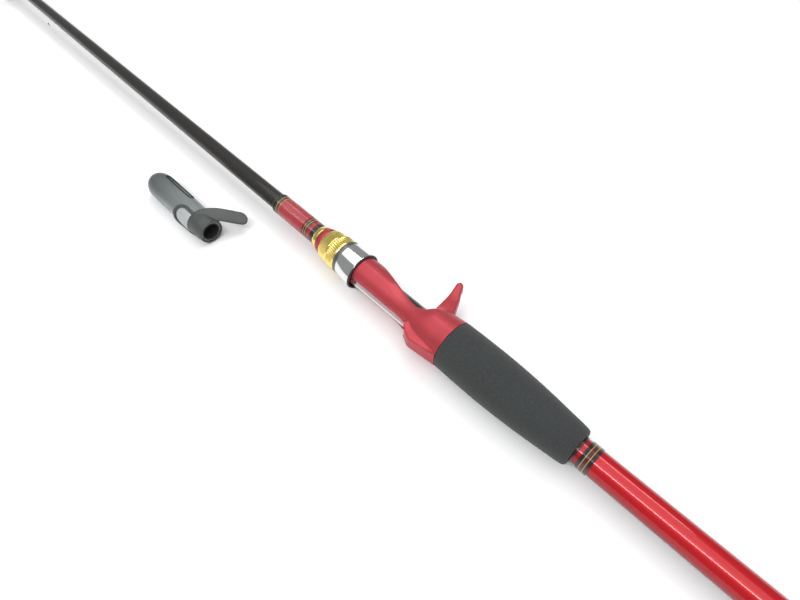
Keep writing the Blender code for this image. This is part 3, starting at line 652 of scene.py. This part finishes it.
def make_trim():
    """The rings in front of the reel seat and at the mouth."""
    rear, front = ends("seat_collar")
    collar = sleeve("red_collar", [(rear, 9.75), (rear + 1.6, 9.8), (rear + 3.0, 9.4), (front, 8.9)],
                    [(rear, 8.0), (front, 8.0)], 0.4)
    settle(collar, "handle", "satin_red", nodes=["seat_collar"])

    rear, front = ends("seat_end_ring")
    bore = blank_radius(rear) + 0.1
    ring = sleeve("gold_end_ring", [(rear, 8.8), (rear + 1.2, 8.75), (rear + 2.0, 8.5), (rear + 3.4, 7.9), (front, 7.45)],
                  [(rear, bore), (front, bore)], 0.3)
    settle(ring, "handle", "gold_metal", nodes=["seat_end_ring"])

    rear, front = ends("mouth_ring")
    bore = blank_radius(front) + 0.1
    lip = sleeve("dark_mouth_ring", [(rear, bore + 0.55), (rear + 0.7, bore + 0.5), (front, bore - 0.05)],
                 [(rear, bore), (front - 0.2, bore), (front - 0.2, bore - 0.3), (front, bore - 0.3)], 0.1)
    settle(lip, "handle", "grey_metal", nodes=["mouth_ring"])


def make_butt():
    """The screw cap with its coin-edge rim, the seal, and the ribbed rubber pad."""
    rear, front = ends("butt_cap")
    flange = ends("butt_sleeve")[0] - 1.5

    def coin_edge(station, angle, radius):
        if rear + 0.7 < station < flange - 0.5 and radius > 8.5:
            return radius - 0.16 * (0.5 + 0.5 * math.cos(60 * angle))
        return radius

    profile = [(rear, 0.0), (rear, 8.2), (rear + 0.35, 8.8), (rear + 0.8, 8.9), (rear + 1.6, 8.9),
               (rear + 2.4, 8.9), (flange - 0.6, 8.9), (flange - 0.2, 8.7), (flange, 8.4), (flange, 5.4)]
    turns = int((front - flange - 1.6) / 1.0)
    for k in range(turns):
        start = flange + 0.6 + k
        profile += [(start, 5.1), (start + 0.5, 5.5)]
    profile += [(front - 0.8, 5.2), (front, 4.7), (front, 0.0)]
    cap = revolved("screw_cap", profile, sides=240, closed=False, shape=coin_edge)
    settle(cap, "butt_cap", "grey_metal", nodes=["butt_cap"])

    rear, front = ends("butt_pad")
    pad_profile = [(front, 0.0), (front, 8.1), (rear + 1.2, 8.05), (rear + 0.5, 7.7), (rear + 0.1, 7.1), (rear, 6.6)]
    for k in range(3):
        groove = 5.4 - 1.6 * k
        pad_profile += [(rear, groove + 0.35), (rear + 0.45, groove + 0.15), (rear + 0.45, groove - 0.15),
                        (rear, groove - 0.35)]
    pad_profile += [(rear, 0.9), (rear, 0.0)]
    pad = revolved("ribbed_pad", pad_profile, sides=FINE, closed=False)
    settle(pad, "butt_cap", "rubber_black", nodes=["butt_pad"])

    low, high = ends("butt_o_ring")
    cord_radius = (high - low) / 2
    middle = radius_of("butt_o_ring") - cord_radius
    circle = [(low + cord_radius * (1 + math.cos(a)), middle + cord_radius * math.sin(a))
              for a in (2 * math.pi * k / 20 for k in range(20))]
    settle(revolved("seal_ring", circle), "butt_seal", "rubber_black", nodes=["butt_o_ring"])


# ---------------------------------------------------------------- the reel seat

BARREL = 11.0
WAIST_HALF = 9.9
WAIST_RADIUS = 62.0
SEAT_BORE = 8.0


def make_seat():
    """One moulding: barrel, pinched waist, finger scoop, hooked trigger and the fixed hood."""
    rear, front = ends("reel_seat")
    barrel_front = 35.5
    skirt = spline([(rear, 16.0), (-39.0, 15.4), (-31.0, 14.7), (-25.5, 13.9), (-19.0, 12.6), (-12.0, 11.5),
                    (-5.0, 11.05), (3.0, BARREL), (10.0, BARREL)], 6)
    spare = 2.0
    body = revolved("seat_moulding", [(rear - spare, 0.0), (rear - spare, 16.1)] + skirt
                    + [(barrel_front + spare, BARREL), (barrel_front + spare, 0.0)], closed=False)

    half = 45.0
    cutters = []
    for side in (-1, 1):
        bow = []
        for k in range(41):
            u = -half + 2 * half * k / 40
            bow.append((u - 5.0, side * (WAIST_HALF + WAIST_RADIUS - math.sqrt(WAIST_RADIUS ** 2 - u * u))))
        bow += [(half - 5.0, side * 40.0), (-half - 5.0, side * 40.0)]
        cutters.append(prism("waist_cutter", bow, -30.0, 30.0, facing="Y"))
    scoop = spline([(27.0, -11.8), (20.5, -9.0), (13.5, -6.5), (5.5, -4.1), (-1.5, -2.4), (-8.5, -0.9),
                    (-14.5, 0.3), (-18.7, -0.2), (-22.0, -1.9), (-25.2, -5.4), (-28.0, -9.6), (-30.5, -14.5)], 6)
    scoop += [(-31.5, -22.0), (27.0, -22.0)]
    cutters.append(prism("finger_scoop", scoop, -30.0, 30.0))
    boolean(body, cutters, "DIFFERENCE")

    hood = prism("fixed_hood", [(-46.5, 6.0), (-46.5, 15.5), (-36.0, 16.9), (-29.0, 17.8), (-25.6, 18.1), (-23.6, 17.6),
                                (-17.0, 13.6), (-16.9, 6.0)], -7.6, 7.6,
                 squeeze=lambda v: 1.0 - 0.32 * max(0.0, v - 12.0) / 6.0)
    trigger = prism("trigger", spline([
        (-23.0, -3.0), (-22.3, -9.0), (-21.0, -17.0), (-19.3, -25.6), (-17.7, -31.6), (-16.9, -35.0), (-18.4, -37.2),
        (-21.4, -36.2), (-23.2, -32.2), (-26.4, -27.4), (-29.8, -20.8), (-33.2, -15.4), (-38.5, -11.5)], 5)
        + [(-38.5, -4.0)], -3.7, 3.7, squeeze=lambda v: 1.0 + 0.7 * max(0.0, 1.0 - abs(v + 11.0) / 13.0))
    boolean(body, [hood, trigger], "UNION")
    moulded_whole(body, 0.5, 34)
    squared_off(body, rear, -1.0)
    squared_off(body, barrel_front, 1.0)

    bore = revolved("seat_bore", [(rear - 1.0, SEAT_BORE), (barrel_front + 1.0, SEAT_BORE)], sides=FINE, closed=False)
    cap_ends(bore)
    low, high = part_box("foot_saddle")
    channel = cuboid("saddle_channel", low.x / MM - ORIGIN - GAP, high.x / MM - ORIGIN + GAP,
                     low.y / MM - 0.15, 30.0, 3.9)
    pocket = cuboid("fixed_pocket", -34.5, -15.0, high.y / MM, 15.0, 5.6)
    boolean(body, [bore, pocket, channel], "DIFFERENCE")
    settle(tidy_mesh(body), "handle", "satin_red", nodes=["reel_seat"], sharp=40.0)

    crest, root, pitch = 8.9, 8.35, 2.0
    profile = [(barrel_front - 0.1, SEAT_BORE + 0.02), (barrel_front - 0.1, 8.6)]
    station = barrel_front + 0.6
    while station < front - pitch:
        profile += [(station, root), (station + 0.5, crest), (station + 0.9, crest), (station + 1.4, root)]
        station += pitch
    profile += [(front, root), (front, SEAT_BORE + 0.02)]
    settle(revolved("seat_thread", profile), "handle", "satin_red")


def squared_off(obj, station, side):
    """Cut a solid off at a station and close it, dropping what is to the rear (-1) or front (1)."""
    grid = bmesh.new()
    grid.from_mesh(obj.data)
    cut = bmesh.ops.bisect_plane(grid, geom=[*grid.verts, *grid.edges, *grid.faces], dist=1e-7,
                                 plane_co=((ORIGIN + station) * MM, 0.0, 0.0), plane_no=(side, 0.0, 0.0),
                                 clear_outer=True)
    rim = [e for e in cut["geom_cut"] if isinstance(e, bmesh.types.BMEdge)]
    bmesh.ops.holes_fill(grid, edges=rim, sides=0)
    bmesh.ops.triangulate(grid, faces=[f for f in grid.faces if len(f.verts) > 4])
    bmesh.ops.recalc_face_normals(grid, faces=grid.faces)
    grid.to_mesh(obj.data)
    grid.free()


def cap_ends(obj):
    """Close an open tube's two ends."""
    grid = bmesh.new()
    grid.from_mesh(obj.data)
    bmesh.ops.holes_fill(grid, edges=[e for e in grid.edges if e.is_boundary], sides=0)
    bmesh.ops.recalc_face_normals(grid, faces=grid.faces)
    grid.to_mesh(obj.data)
    grid.free()


def cuboid(name, rear, front, low, high, half_width):
    return prism(name, [(rear, low), (front, low), (front, high), (rear, high)], -half_width, half_width)


def make_saddle():
    """The inlaid strip, with softened edges."""
    low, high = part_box("foot_saddle")
    rear, front = ends("foot_saddle")
    strip = cuboid("saddle_inlay", rear, front, low.y / MM, high.y / MM, high.z / MM)
    bevel = strip.modifiers.new("edges", "BEVEL")
    bevel.width = 0.35 * MM
    bevel.segments = 4
    bevel.limit_method = "ANGLE"
    bpy.context.view_layer.update()
    settle(baked(strip), "handle", "saddle_gloss", nodes=["foot_saddle"])


# ---------------------------------------------------------------- the movable hood and its nut

HOOD_REAR = 34.0
HOOD_FRONT = 49.2


def hood_bulge(station, angle, radius):
    """The hood swells towards +Y at its rear, where the reel's foot goes in."""
    away = math.atan2(math.sin(angle), math.cos(angle))
    across = math.exp(-(away / 0.62) ** 2)
    along = max(0.0, min(1.0, (HOOD_REAR + 13.5 - station) / 13.5))
    return radius + 1.75 * across * along * (2.0 - along)


def make_hood():
    lip_rear = ends("movable_hood")[0]
    black = sleeve(
        "hood_body",
        [(lip_rear, 12.1), (lip_rear + 0.35, 12.55), (HOOD_REAR - 0.1, 12.55), (HOOD_REAR, 11.75),
         (HOOD_FRONT, 11.75)],
        [(lip_rear, 11.25), (38.0, 11.2), (42.0, 11.2), (46.2, 11.2), (46.2, 9.05), (HOOD_FRONT, 9.05)],
        0.25, shape=lambda s, a, r: hood_bulge(s, a, r) if r > 9.5 else r, sides=160)
    settle(black, "hood", "black_plastic", nodes=["movable_hood"])

    cover_front = HOOD_FRONT - 1.3
    stations = [HOOD_REAR + (cover_front - HOOD_REAR) * k / 24 for k in range(25)]
    outer = [(s, 12.32) for s in stations]
    inner = [(s, 11.85) for s in stations]
    bright = revolved("silver_cover", softened(outer + inner[::-1], 0.2), sides=192, shape=hood_bulge)
    settle(bright, "hood", "bright_metal", nodes=["hood_cover"])

    rear, front = ends("hood_washer")
    lip = cover_front + 0.1
    washer = sleeve("dark_washer", [(lip, 12.25), (front, 12.15)],
                    [(lip, 11.85), (rear, 11.85), (rear, 9.05), (front, 9.05)], 0.2)
    settle(washer, "hood", "grey_metal", nodes=["hood_washer"])


def make_nut():
    """The gold nut: two knurled zones with a smooth groove between them."""
    rear, front = ends("hood_nut")
    zones = ((rear + 0.9, rear + 7.0, 0.32), (rear + 8.6, front - 1.0, 0.22))

    def knurl(station, angle, radius):
        for start, end, depth in zones:
            if start <= station <= end and radius > 10.0:
                edge = min(1.0, (station - start) / 0.5, (end - station) / 0.5)
                return radius - depth * edge * (0.5 + 0.5 * math.cos(48 * angle))
        return radius

    shape = [(rear, 11.65), (rear + 0.45, 11.95), (rear + 0.9, 12.0), (rear + 1.4, 12.0), (rear + 6.5, 12.0),
             (rear + 7.0, 11.95), (rear + 7.35, 11.6), (rear + 7.9, 11.35), (rear + 8.3, 11.45), (rear + 8.6, 11.5),
             (rear + 9.1, 11.45), (rear + 12.3, 11.2), (rear + 15.2, 10.75), (front - 1.0, 10.6), (front - 0.4, 10.35),
             (front, 10.0)]
    ring = revolved("gold_nut", shape + [(front, 9.7), (rear, 9.7)], sides=576, shape=knurl)
    settle(ring, "nut", "gold_metal", nodes=["hood_nut"], sharp=50.0)


# ---------------------------------------------------------------- sections and guides

def make_sections():
    names = list(TAPERS)
    for name, inner_name in zip(names, names[1:] + [None]):
        rear, front = ends(name)
        outer = [(rear, section_radius(name, rear)), (front, section_radius(name, front))]
        if inner_name:
            overlap = ends(inner_name)[0]
            inner = [(rear, section_radius(name, rear) - 0.75), (overlap, TAPERS[inner_name][0] + SLIDE_GAP),
                     (front, section_radius(inner_name, front) + SLIDE_GAP)]
            piece = sleeve(name + "_tube", outer, inner, 0.12, sides=SLIM)
        else:
            line = [(rear, 0.0)] + outer + [(front, 0.0)]
            piece = revolved(name + "_rod", softened(line, 0.2, closed=False), sides=SLIM, closed=False)
        settle(piece, name, "carbon_black", nodes=[name])


def guide_plate(name, station, foot, ring_height, seat_radius, thickness):
    """A guide's frame: a rounded plate from the collar up round the ring's seat."""
    lean = math.asin((seat_radius + 0.7 - 1.3) / (ring_height - foot))
    turns = [math.pi / 2 + lean + (math.pi - 2 * lean) * k / 10 for k in range(11)]
    outline = []
    for k in range(29):
        a = -math.pi / 2 - lean + (math.pi + 2 * lean) * k / 28
        outline.append((ring_height + (seat_radius + 0.7) * math.cos(a), (seat_radius + 0.7) * math.sin(a)))
    outline += [(foot + 1.3 * math.cos(a), 1.3 * math.sin(a)) for a in turns]
    hole = [(ring_height + seat_radius * math.cos(a), seat_radius * math.sin(a))
            for a in (2 * math.pi * k / 40 for k in range(40))]
    curve = bpy.data.curves.new(name, "CURVE")
    curve.dimensions = "2D"
    curve.fill_mode = "BOTH"
    curve.bevel_depth = 0.18 * MM
    curve.bevel_resolution = 2
    curve.extrude = (thickness / 2 - 0.18) * MM
    curve.offset = -0.18 * MM
    for loop in (outline, hole):
        path = curve.splines.new("POLY")
        path.points.add(len(loop) - 1)
        for point, (u, v) in zip(path.points, loop):
            point.co = (u * MM, v * MM, 0.0, 1.0)
        path.use_cyclic_u = True
    source = add_object(name + "_outline", curve)
    bpy.context.view_layer.update()
    mesh = bpy.data.meshes.new_from_object(source.evaluated_get(bpy.context.evaluated_depsgraph_get()))
    bpy.data.objects.remove(source, do_unlink=True)
    mesh.transform(Matrix(((0, 0, 1, (ORIGIN + station) * MM), (1, 0, 0, 0), (0, 1, 0, 0), (0, 0, 0, 1))))
    return tidy_mesh(add_object(name, mesh))


def ceramic_ring(name, node, body):
    """A polished ring with a rounded bore."""
    rear, front = ends(node)
    y, z = centre_of(node)
    outer = radius_of(node)
    half = (front - rear) / 2
    middle = (rear + front) / 2
    bore = outer - (1.05 if outer > 3.5 else 0.8)
    profile = []
    for k in range(24):
        a = 2 * math.pi * k / 24
        across = math.copysign(abs(math.sin(a)) ** 0.75, math.sin(a))
        profile.append((middle + half * math.copysign(abs(math.cos(a)) ** 0.75, math.cos(a)),
                        (outer + bore) / 2 + (outer - bore) / 2 * across))
    settle(revolved(name, profile, y=y, z=z, sides=SLIM), body, "guide_ceramic", nodes=[node])


def make_guide(name, body, section):
    """A guide's collar, plate, ring and, where it is fixed, its thread wrap."""
    node = name + "_frame"
    rear, front = ends(node)
    ring_height = centre_of(name + "_ring")[0]
    ring_radius = radius_of(name + "_ring")
    middle = sum(ends(name + "_ring")) / 2
    bore = section_radius(section, rear) + 0.1
    collar = sleeve(name + "_collar", [(rear, bore + 0.3), (rear + 1.2, bore + 0.5), (front, bore + 0.5)],
                    [(rear, bore), (front, bore)], 0.15, sides=SLIM)
    settle(collar, body, "guide_steel", nodes=[node])
    plate = guide_plate(name + "_plate", middle, bore + 1.5, ring_height, ring_radius + 0.1, 1.1)
    settle(plate, body, "guide_steel")
    ceramic_ring(name + "_ceramic", name + "_ring", body)
    if body == section:
        thread_wrap(name + "_thread", name + "_wrap", lambda s: section_radius(section, s), 0.4, body,
                    "thread_red", None, SLIM)


def make_tip_top():
    rear, front = ends("tip_top_frame")
    bore = section_radius("section_5", rear) + 0.1
    tube = revolved("tip_tube", softened([
        (front - 2.3, 0.0), (front - 2.3, bore), (rear, bore), (rear, bore + 0.45), (front - 0.6, bore + 0.45),
        (front, bore), (front, 0.0)], 0.12, closed=False), sides=SLIM, closed=False)
    settle(tube, "section_5", "guide_steel", nodes=["tip_top_frame"])
    ring_height = centre_of("tip_top_ring")[0]
    middle = sum(ends("tip_top_ring")) / 2
    plate = guide_plate("tip_plate", middle, 1.4, ring_height, radius_of("tip_top_ring") + 0.1, 1.0)
    settle(plate, "section_5", "guide_steel")
    ceramic_ring("tip_ceramic", "tip_top_ring", "section_5")


# ---------------------------------------------------------------- the tip cover

COVER_MOUTH, COVER_END = ends("tip_cover_shell")
COVER_RADIUS = radius_of("tip_cover_shell")
COVER_Y, COVER_Z = centre_of("tip_cover_shell")
MOUTH_RADIUS = 7.6
LOOP_MIDDLE = 71.0            # the loop's middle, in degrees from the top towards +Y
SHOULDER = COVER_MOUTH + 28.0


def cover_radius(station):
    """The shell's outer radius: it narrows smoothly towards its mouth."""
    t = max(0.0, min(1.0, (station - COVER_MOUTH) / (SHOULDER - COVER_MOUTH)))
    return MOUTH_RADIUS + (COVER_RADIUS - MOUTH_RADIUS) * t * (2.0 - t)


def cover_profile(inset):
    """The shell's profile moved inwards, from the mouth to the closed end."""
    dome = 13.0
    start = COVER_END - dome
    line = [(COVER_MOUTH + 4.0 * k, cover_radius(COVER_MOUTH + 4.0 * k) - inset) for k in range(8)]
    line.append((start, COVER_RADIUS - inset))
    for k in range(1, 13):
        a = math.radians(90.0 * k / 12)
        line.append((start + (dome - inset) * math.sin(a), max(0.0, (COVER_RADIUS - inset) * math.cos(a))))
    return line


def around(name, obj, angle):
    """Turn a cutter made above the cover's axis by an angle about that axis."""
    centre = Matrix.Translation(Vector((0.0, COVER_Y, COVER_Z)) * MM)
    obj.data.transform(centre @ Matrix.Rotation(math.radians(angle), 4, "X"))
    obj.name = name
    return obj


def round_ended(rear, front, half):
    """A long hole's outline: straight sides and round ends."""
    points = []
    for end, start_angle in ((front - half, -90.0), (rear + half, 90.0)):
        for k in range(13):
            a = math.radians(start_angle + 15.0 * k)
            points.append((end + half * math.cos(a), half * math.sin(a)))
    return points


def make_shell():
    """The smoky shell with its lengthwise slot, and a black rim round the slot, a painted shade for its cut edge."""
    outer = cover_profile(0.0)
    inner = cover_profile(1.0)
    shell = revolved("smoky_shell", outer + inner[::-1], y=COVER_Y, z=COVER_Z, closed=True, sides=128)
    slot = around("slot", prism("slot", round_ended(169.0, 201.0, 1.8), 3.0, 20.0), 40.0)
    boolean(shell, [slot], "DIFFERENCE")
    bevel = shell.modifiers.new("edges", "BEVEL")
    bevel.width = 0.15 * MM
    bevel.segments = 2
    bevel.limit_method = "ANGLE"
    bevel.angle_limit = math.radians(50.0)
    bpy.context.view_layer.update()
    settle(tidy_mesh(baked(shell)), "tip_cover", "smoke_plastic", nodes=["tip_cover_shell"])

    # Painted shade: an opaque black rim round the slot stands in for the dark look of the slot's cut edge.
    rim = []
    outline = round_ended(168.7, 201.3, 2.1)
    for station, across in outline + outline[:1]:
        a = math.radians(130.0) + across / COVER_RADIUS
        out = Vector((0.0, math.cos(a), math.sin(a)))
        rim.append((Vector((ORIGIN + station, COVER_Y, COVER_Z)) + out * (cover_radius(station) + 0.1), out))
    frames = []
    for i, (centre, out) in enumerate(rim):
        ahead = rim[min(i + 1, len(rim) - 1)][0] - rim[max(i - 1, 0)][0]
        frames.append((centre, ahead.cross(out).normalized(), out, 1.0))
    settle(swept("slot_edge_shade", frames, 0.8, 0.7), "tip_cover", "smoke_plastic", "black_plastic")


def swept(name, path, width, thickness):
    """A rounded strip along (centre, side, up) frames."""
    grid = bmesh.new()
    rings = []
    for centre, side, up, narrowing in path:
        ring = []
        for k in range(16):
            a = 2 * math.pi * k / 16
            u = math.copysign(abs(math.cos(a)) ** 0.5, math.cos(a)) * width / 2 * narrowing
            v = math.copysign(abs(math.sin(a)) ** 0.5, math.sin(a)) * thickness / 2
            ring.append(grid.verts.new((centre + side * u + up * v) * MM))
        rings.append(ring)
    for ring, after in zip(rings, rings[1:]):
        for i in range(16):
            j = (i + 1) % 16
            grid.faces.new((ring[i], ring[j], after[j], after[i]))
    grid.faces.new(rings[0])
    grid.faces.new(rings[-1])
    bmesh.ops.recalc_face_normals(grid, faces=grid.faces)
    mesh = bpy.data.meshes.new(name)
    grid.to_mesh(mesh)
    grid.free()
    return add_object(name, mesh)


def loop_frames():
    """The raised loop's path over the shell: out from the band, across and back."""
    half_turn = 55.0
    rear, front = COVER_MOUTH + 12.5, COVER_MOUTH + 30.0
    route = [(rear, -half_turn), (rear + 9.0, -half_turn)]
    for k in range(1, 12):
        a = math.radians(-90.0 + 15.0 * k)
        route.append((front - 8.5 + 8.5 * math.cos(a), half_turn * math.sin(a)))
    route += [(rear + 9.0, half_turn), (rear, half_turn)]
    spots = []
    for station, turn in spline(route, 3):
        a = math.radians(90.0 - LOOP_MIDDLE + turn)
        out = Vector((0.0, math.cos(a), math.sin(a)))
        spots.append((Vector((ORIGIN + station, COVER_Y, COVER_Z)) + out * (cover_radius(station) + 0.8), out))
    frames = []
    for i, (centre, out) in enumerate(spots):
        ahead = spots[min(i + 1, len(spots) - 1)][0] - spots[max(i - 1, 0)][0]
        frames.append((centre, ahead.cross(out).normalized(), out, 1.0))
    return frames


def panel_frames():
    """A pale panel's path round the shell, inside the loop."""
    station = COVER_MOUTH + 21.5
    frames = []
    for k in range(13):
        a = math.radians(90.0 - LOOP_MIDDLE - 47.0 + 94.0 * k / 12)
        out = Vector((0.0, math.cos(a), math.sin(a)))
        centre = Vector((ORIGIN + station, COVER_Y, COVER_Z)) + out * (cover_radius(station) + 0.15)
        frames.append((centre, Vector((1.0, 0.0, 0.0)), out, 1.0))
    return frames


def tab_frames():
    """The loose tab's path: off the band's top, out towards the rod and drooping to a round end."""
    route = spline([(11.5, 50.8, 1.4), (9.0, 45.6, 1.9), (4.8, 39.4, 0.5), (0.0, 33.0, -2.4), (-3.8, 27.8, -5.2),
                    (-7.0, 22.8, -7.7)], 8)
    spots = [Vector((ORIGIN + COVER_MOUTH + u, v, w)) for u, v, w in route]
    frames = []
    for i, centre in enumerate(spots):
        ahead = (spots[min(i + 1, len(spots) - 1)] - spots[max(i - 1, 0)]).normalized()
        side = Vector((0.0, 0.0, 1.0)).cross(ahead).normalized()
        side = (side + Vector((0.0, 0.0, 0.35))).normalized()
        to_end = min(1.0, (centre - spots[-1]).length / 4.6)
        round_end = max(0.12, math.sqrt(1.0 - (1.0 - to_end) ** 2))
        neck = 0.80 + 0.20 * min(1.0, (centre - spots[0]).length / 14.0)
        frames.append((centre, side, ahead.cross(side).normalized(), round_end * neck))
    return frames


def make_strap():
    """The rubber strap: a flared band, its loose tab and its raised loop, moulded in one."""
    band_rear, band_front = COVER_MOUTH - 0.8, COVER_MOUTH + 14.5
    steps = [band_rear + (band_front - band_rear) * k / 8 for k in range(9)]
    outer = [(s, min(cover_radius(s) + 1.15, COVER_RADIUS - 0.1)) for s in steps]
    inner = [(s, cover_radius(s) + 0.12) for s in steps]
    band = sleeve("rubber_strap", outer, inner, 0.3, y=COVER_Y, z=COVER_Z)
    tab = swept("tab", tab_frames(), 10.0, 1.9)
    loop = swept("loop", loop_frames(), 2.4, 1.5)
    boolean(band, [tab, loop], "UNION")
    moulded_whole(band, 0.32, 3)
    inside = revolved("strap_inside", [(s, cover_radius(s) + 0.1) for s in
                                       [COVER_MOUTH - 2.0] + [COVER_MOUTH + 2.0 * k for k in range(18)]],
                      y=COVER_Y, z=COVER_Z, sides=128, closed=False)
    cap_ends(inside)
    boolean(band, [inside], "DIFFERENCE")
    settle(tidy_mesh(band), "tip_cover", "strap_rubber", nodes=["tip_cover_strap"], sharp=45.0)
    panel = swept("window_panel", panel_frames(), 14.0, 0.7)
    settle(panel, "tip_cover", "smoke_plastic", "pale_smoke")
    depth = [COVER_MOUTH - 0.3 + 2.0 * k for k in range(9)]
    lining = sleeve("mouth_lining", [(s, cover_radius(s) - 1.1) for s in depth], [(s, cover_radius(s) - 1.7) for s in depth],
                    0.2, y=COVER_Y, z=COVER_Z)
    settle(lining, "tip_cover", "strap_rubber", "rubber_black")


# ---------------------------------------------------------------- carried-over nodes and the stage

def dress_nodes():
    """Give the CAD nodes that stay shown their finished materials."""
    slots = {entry["node"]: entry["material_slot"] for entry in frame["record"]["subparts"]}
    for name in ("butt_bush", "rear_bush", "front_bush", "nut_core"):
        node = frame["nodes"][name]
        node.data.materials.clear()
        node.data.materials.append(MATERIALS[slots[name]])


def floor_material():
    """Pale matt card with the faintest mottling."""
    g = Graph("pale_card", (0.88, 0.88, 0.88), 0.85)
    g.colour(g.ramp(g.noise(6.0, 2.0), [(0.3, (0.872, 0.872, 0.875)), (0.7, (0.885, 0.885, 0.885))]))
    return g.material


def make_stage():
    bpy.ops.mesh.primitive_plane_add(size=14.0, location=(0.6, 0.0, FLOOR))
    floor = bpy.context.object
    floor.name = "floor"
    floor.data.materials.append(floor_material())

    world = bpy.data.worlds.new("studio")
    world.use_nodes = True
    world.node_tree.nodes["Background"].inputs["Color"].default_value = (0.97, 0.98, 1.0, 1.0)
    world.node_tree.nodes["Background"].inputs["Strength"].default_value = 0.36
    bpy.context.scene.world = world

    # Each lamp: place and target in metres, size in metres, power in watts.
    lamps = {
        "key": ((0.20, 0.62, 1.05), (0.36, 0.0, 0.0), (1.3, 0.14), 9.0),
        "rim": ((0.55, -0.60, 1.10), (0.36, 0.0, 0.0), (1.1, 0.20), 4.5),
        "fill": ((0.6, 0.0, 3.5), (0.6, 0.0, 0.0), (4.8, 3.7), 78.0),
    }
    for name, (spot, target, size, power) in lamps.items():
        data = bpy.data.lights.new(name, "AREA")
        data.shape = "RECTANGLE"
        data.size, data.size_y = size
        data.energy = power
        lamp = bpy.data.objects.new(name, data)
        lamp.location = spot
        lamp.rotation_euler = (Vector(target) - Vector(spot)).to_track_quat("-Z", "Y").to_euler()
        bpy.context.scene.collection.objects.link(lamp)


def make_camera():
    """A camera above the rod's reel side, looking down at the reel seat."""
    back = Vector((-0.43033, 0.41775, 0.80019))
    right = Vector((-0.69654, -0.71752, 0.0))
    up = Vector((0.57415, -0.55736, 0.59975))
    aim = Vector((ORIGIN * MM, 0.00057, 0.0))
    data = bpy.data.cameras.new("camera")
    data.lens = 27.9
    data.sensor_width = 36.0
    camera = bpy.data.objects.new("camera", data)
    camera.location = aim + back * 0.389 + right * 0.00088 + up * 0.00113
    camera.rotation_euler = back.to_track_quat("Z", "Y").to_euler()
    bpy.context.scene.collection.objects.link(camera)
    bpy.context.scene.camera = camera
    bpy.context.scene.view_settings.view_transform = "Standard"


make_camera()
make_tubes()
make_grip()
make_wraps()
make_keeper()
make_trim()
make_butt()
make_seat()
make_saddle()
make_hood()
make_nut()
make_sections()
for guide, carrier, on_section in (
        ("guide_1", "section_2", "section_2"), ("guide_2", "section_3", "section_3"),
        ("guide_3", "section_4", "section_4"), ("float_guide_1", "float_guide_1", "section_3"),
        ("float_guide_2", "float_guide_2", "section_4")):
    make_guide(guide, carrier, on_section)
make_tip_top()
make_shell()
make_strap()
dress_nodes()
make_stage()
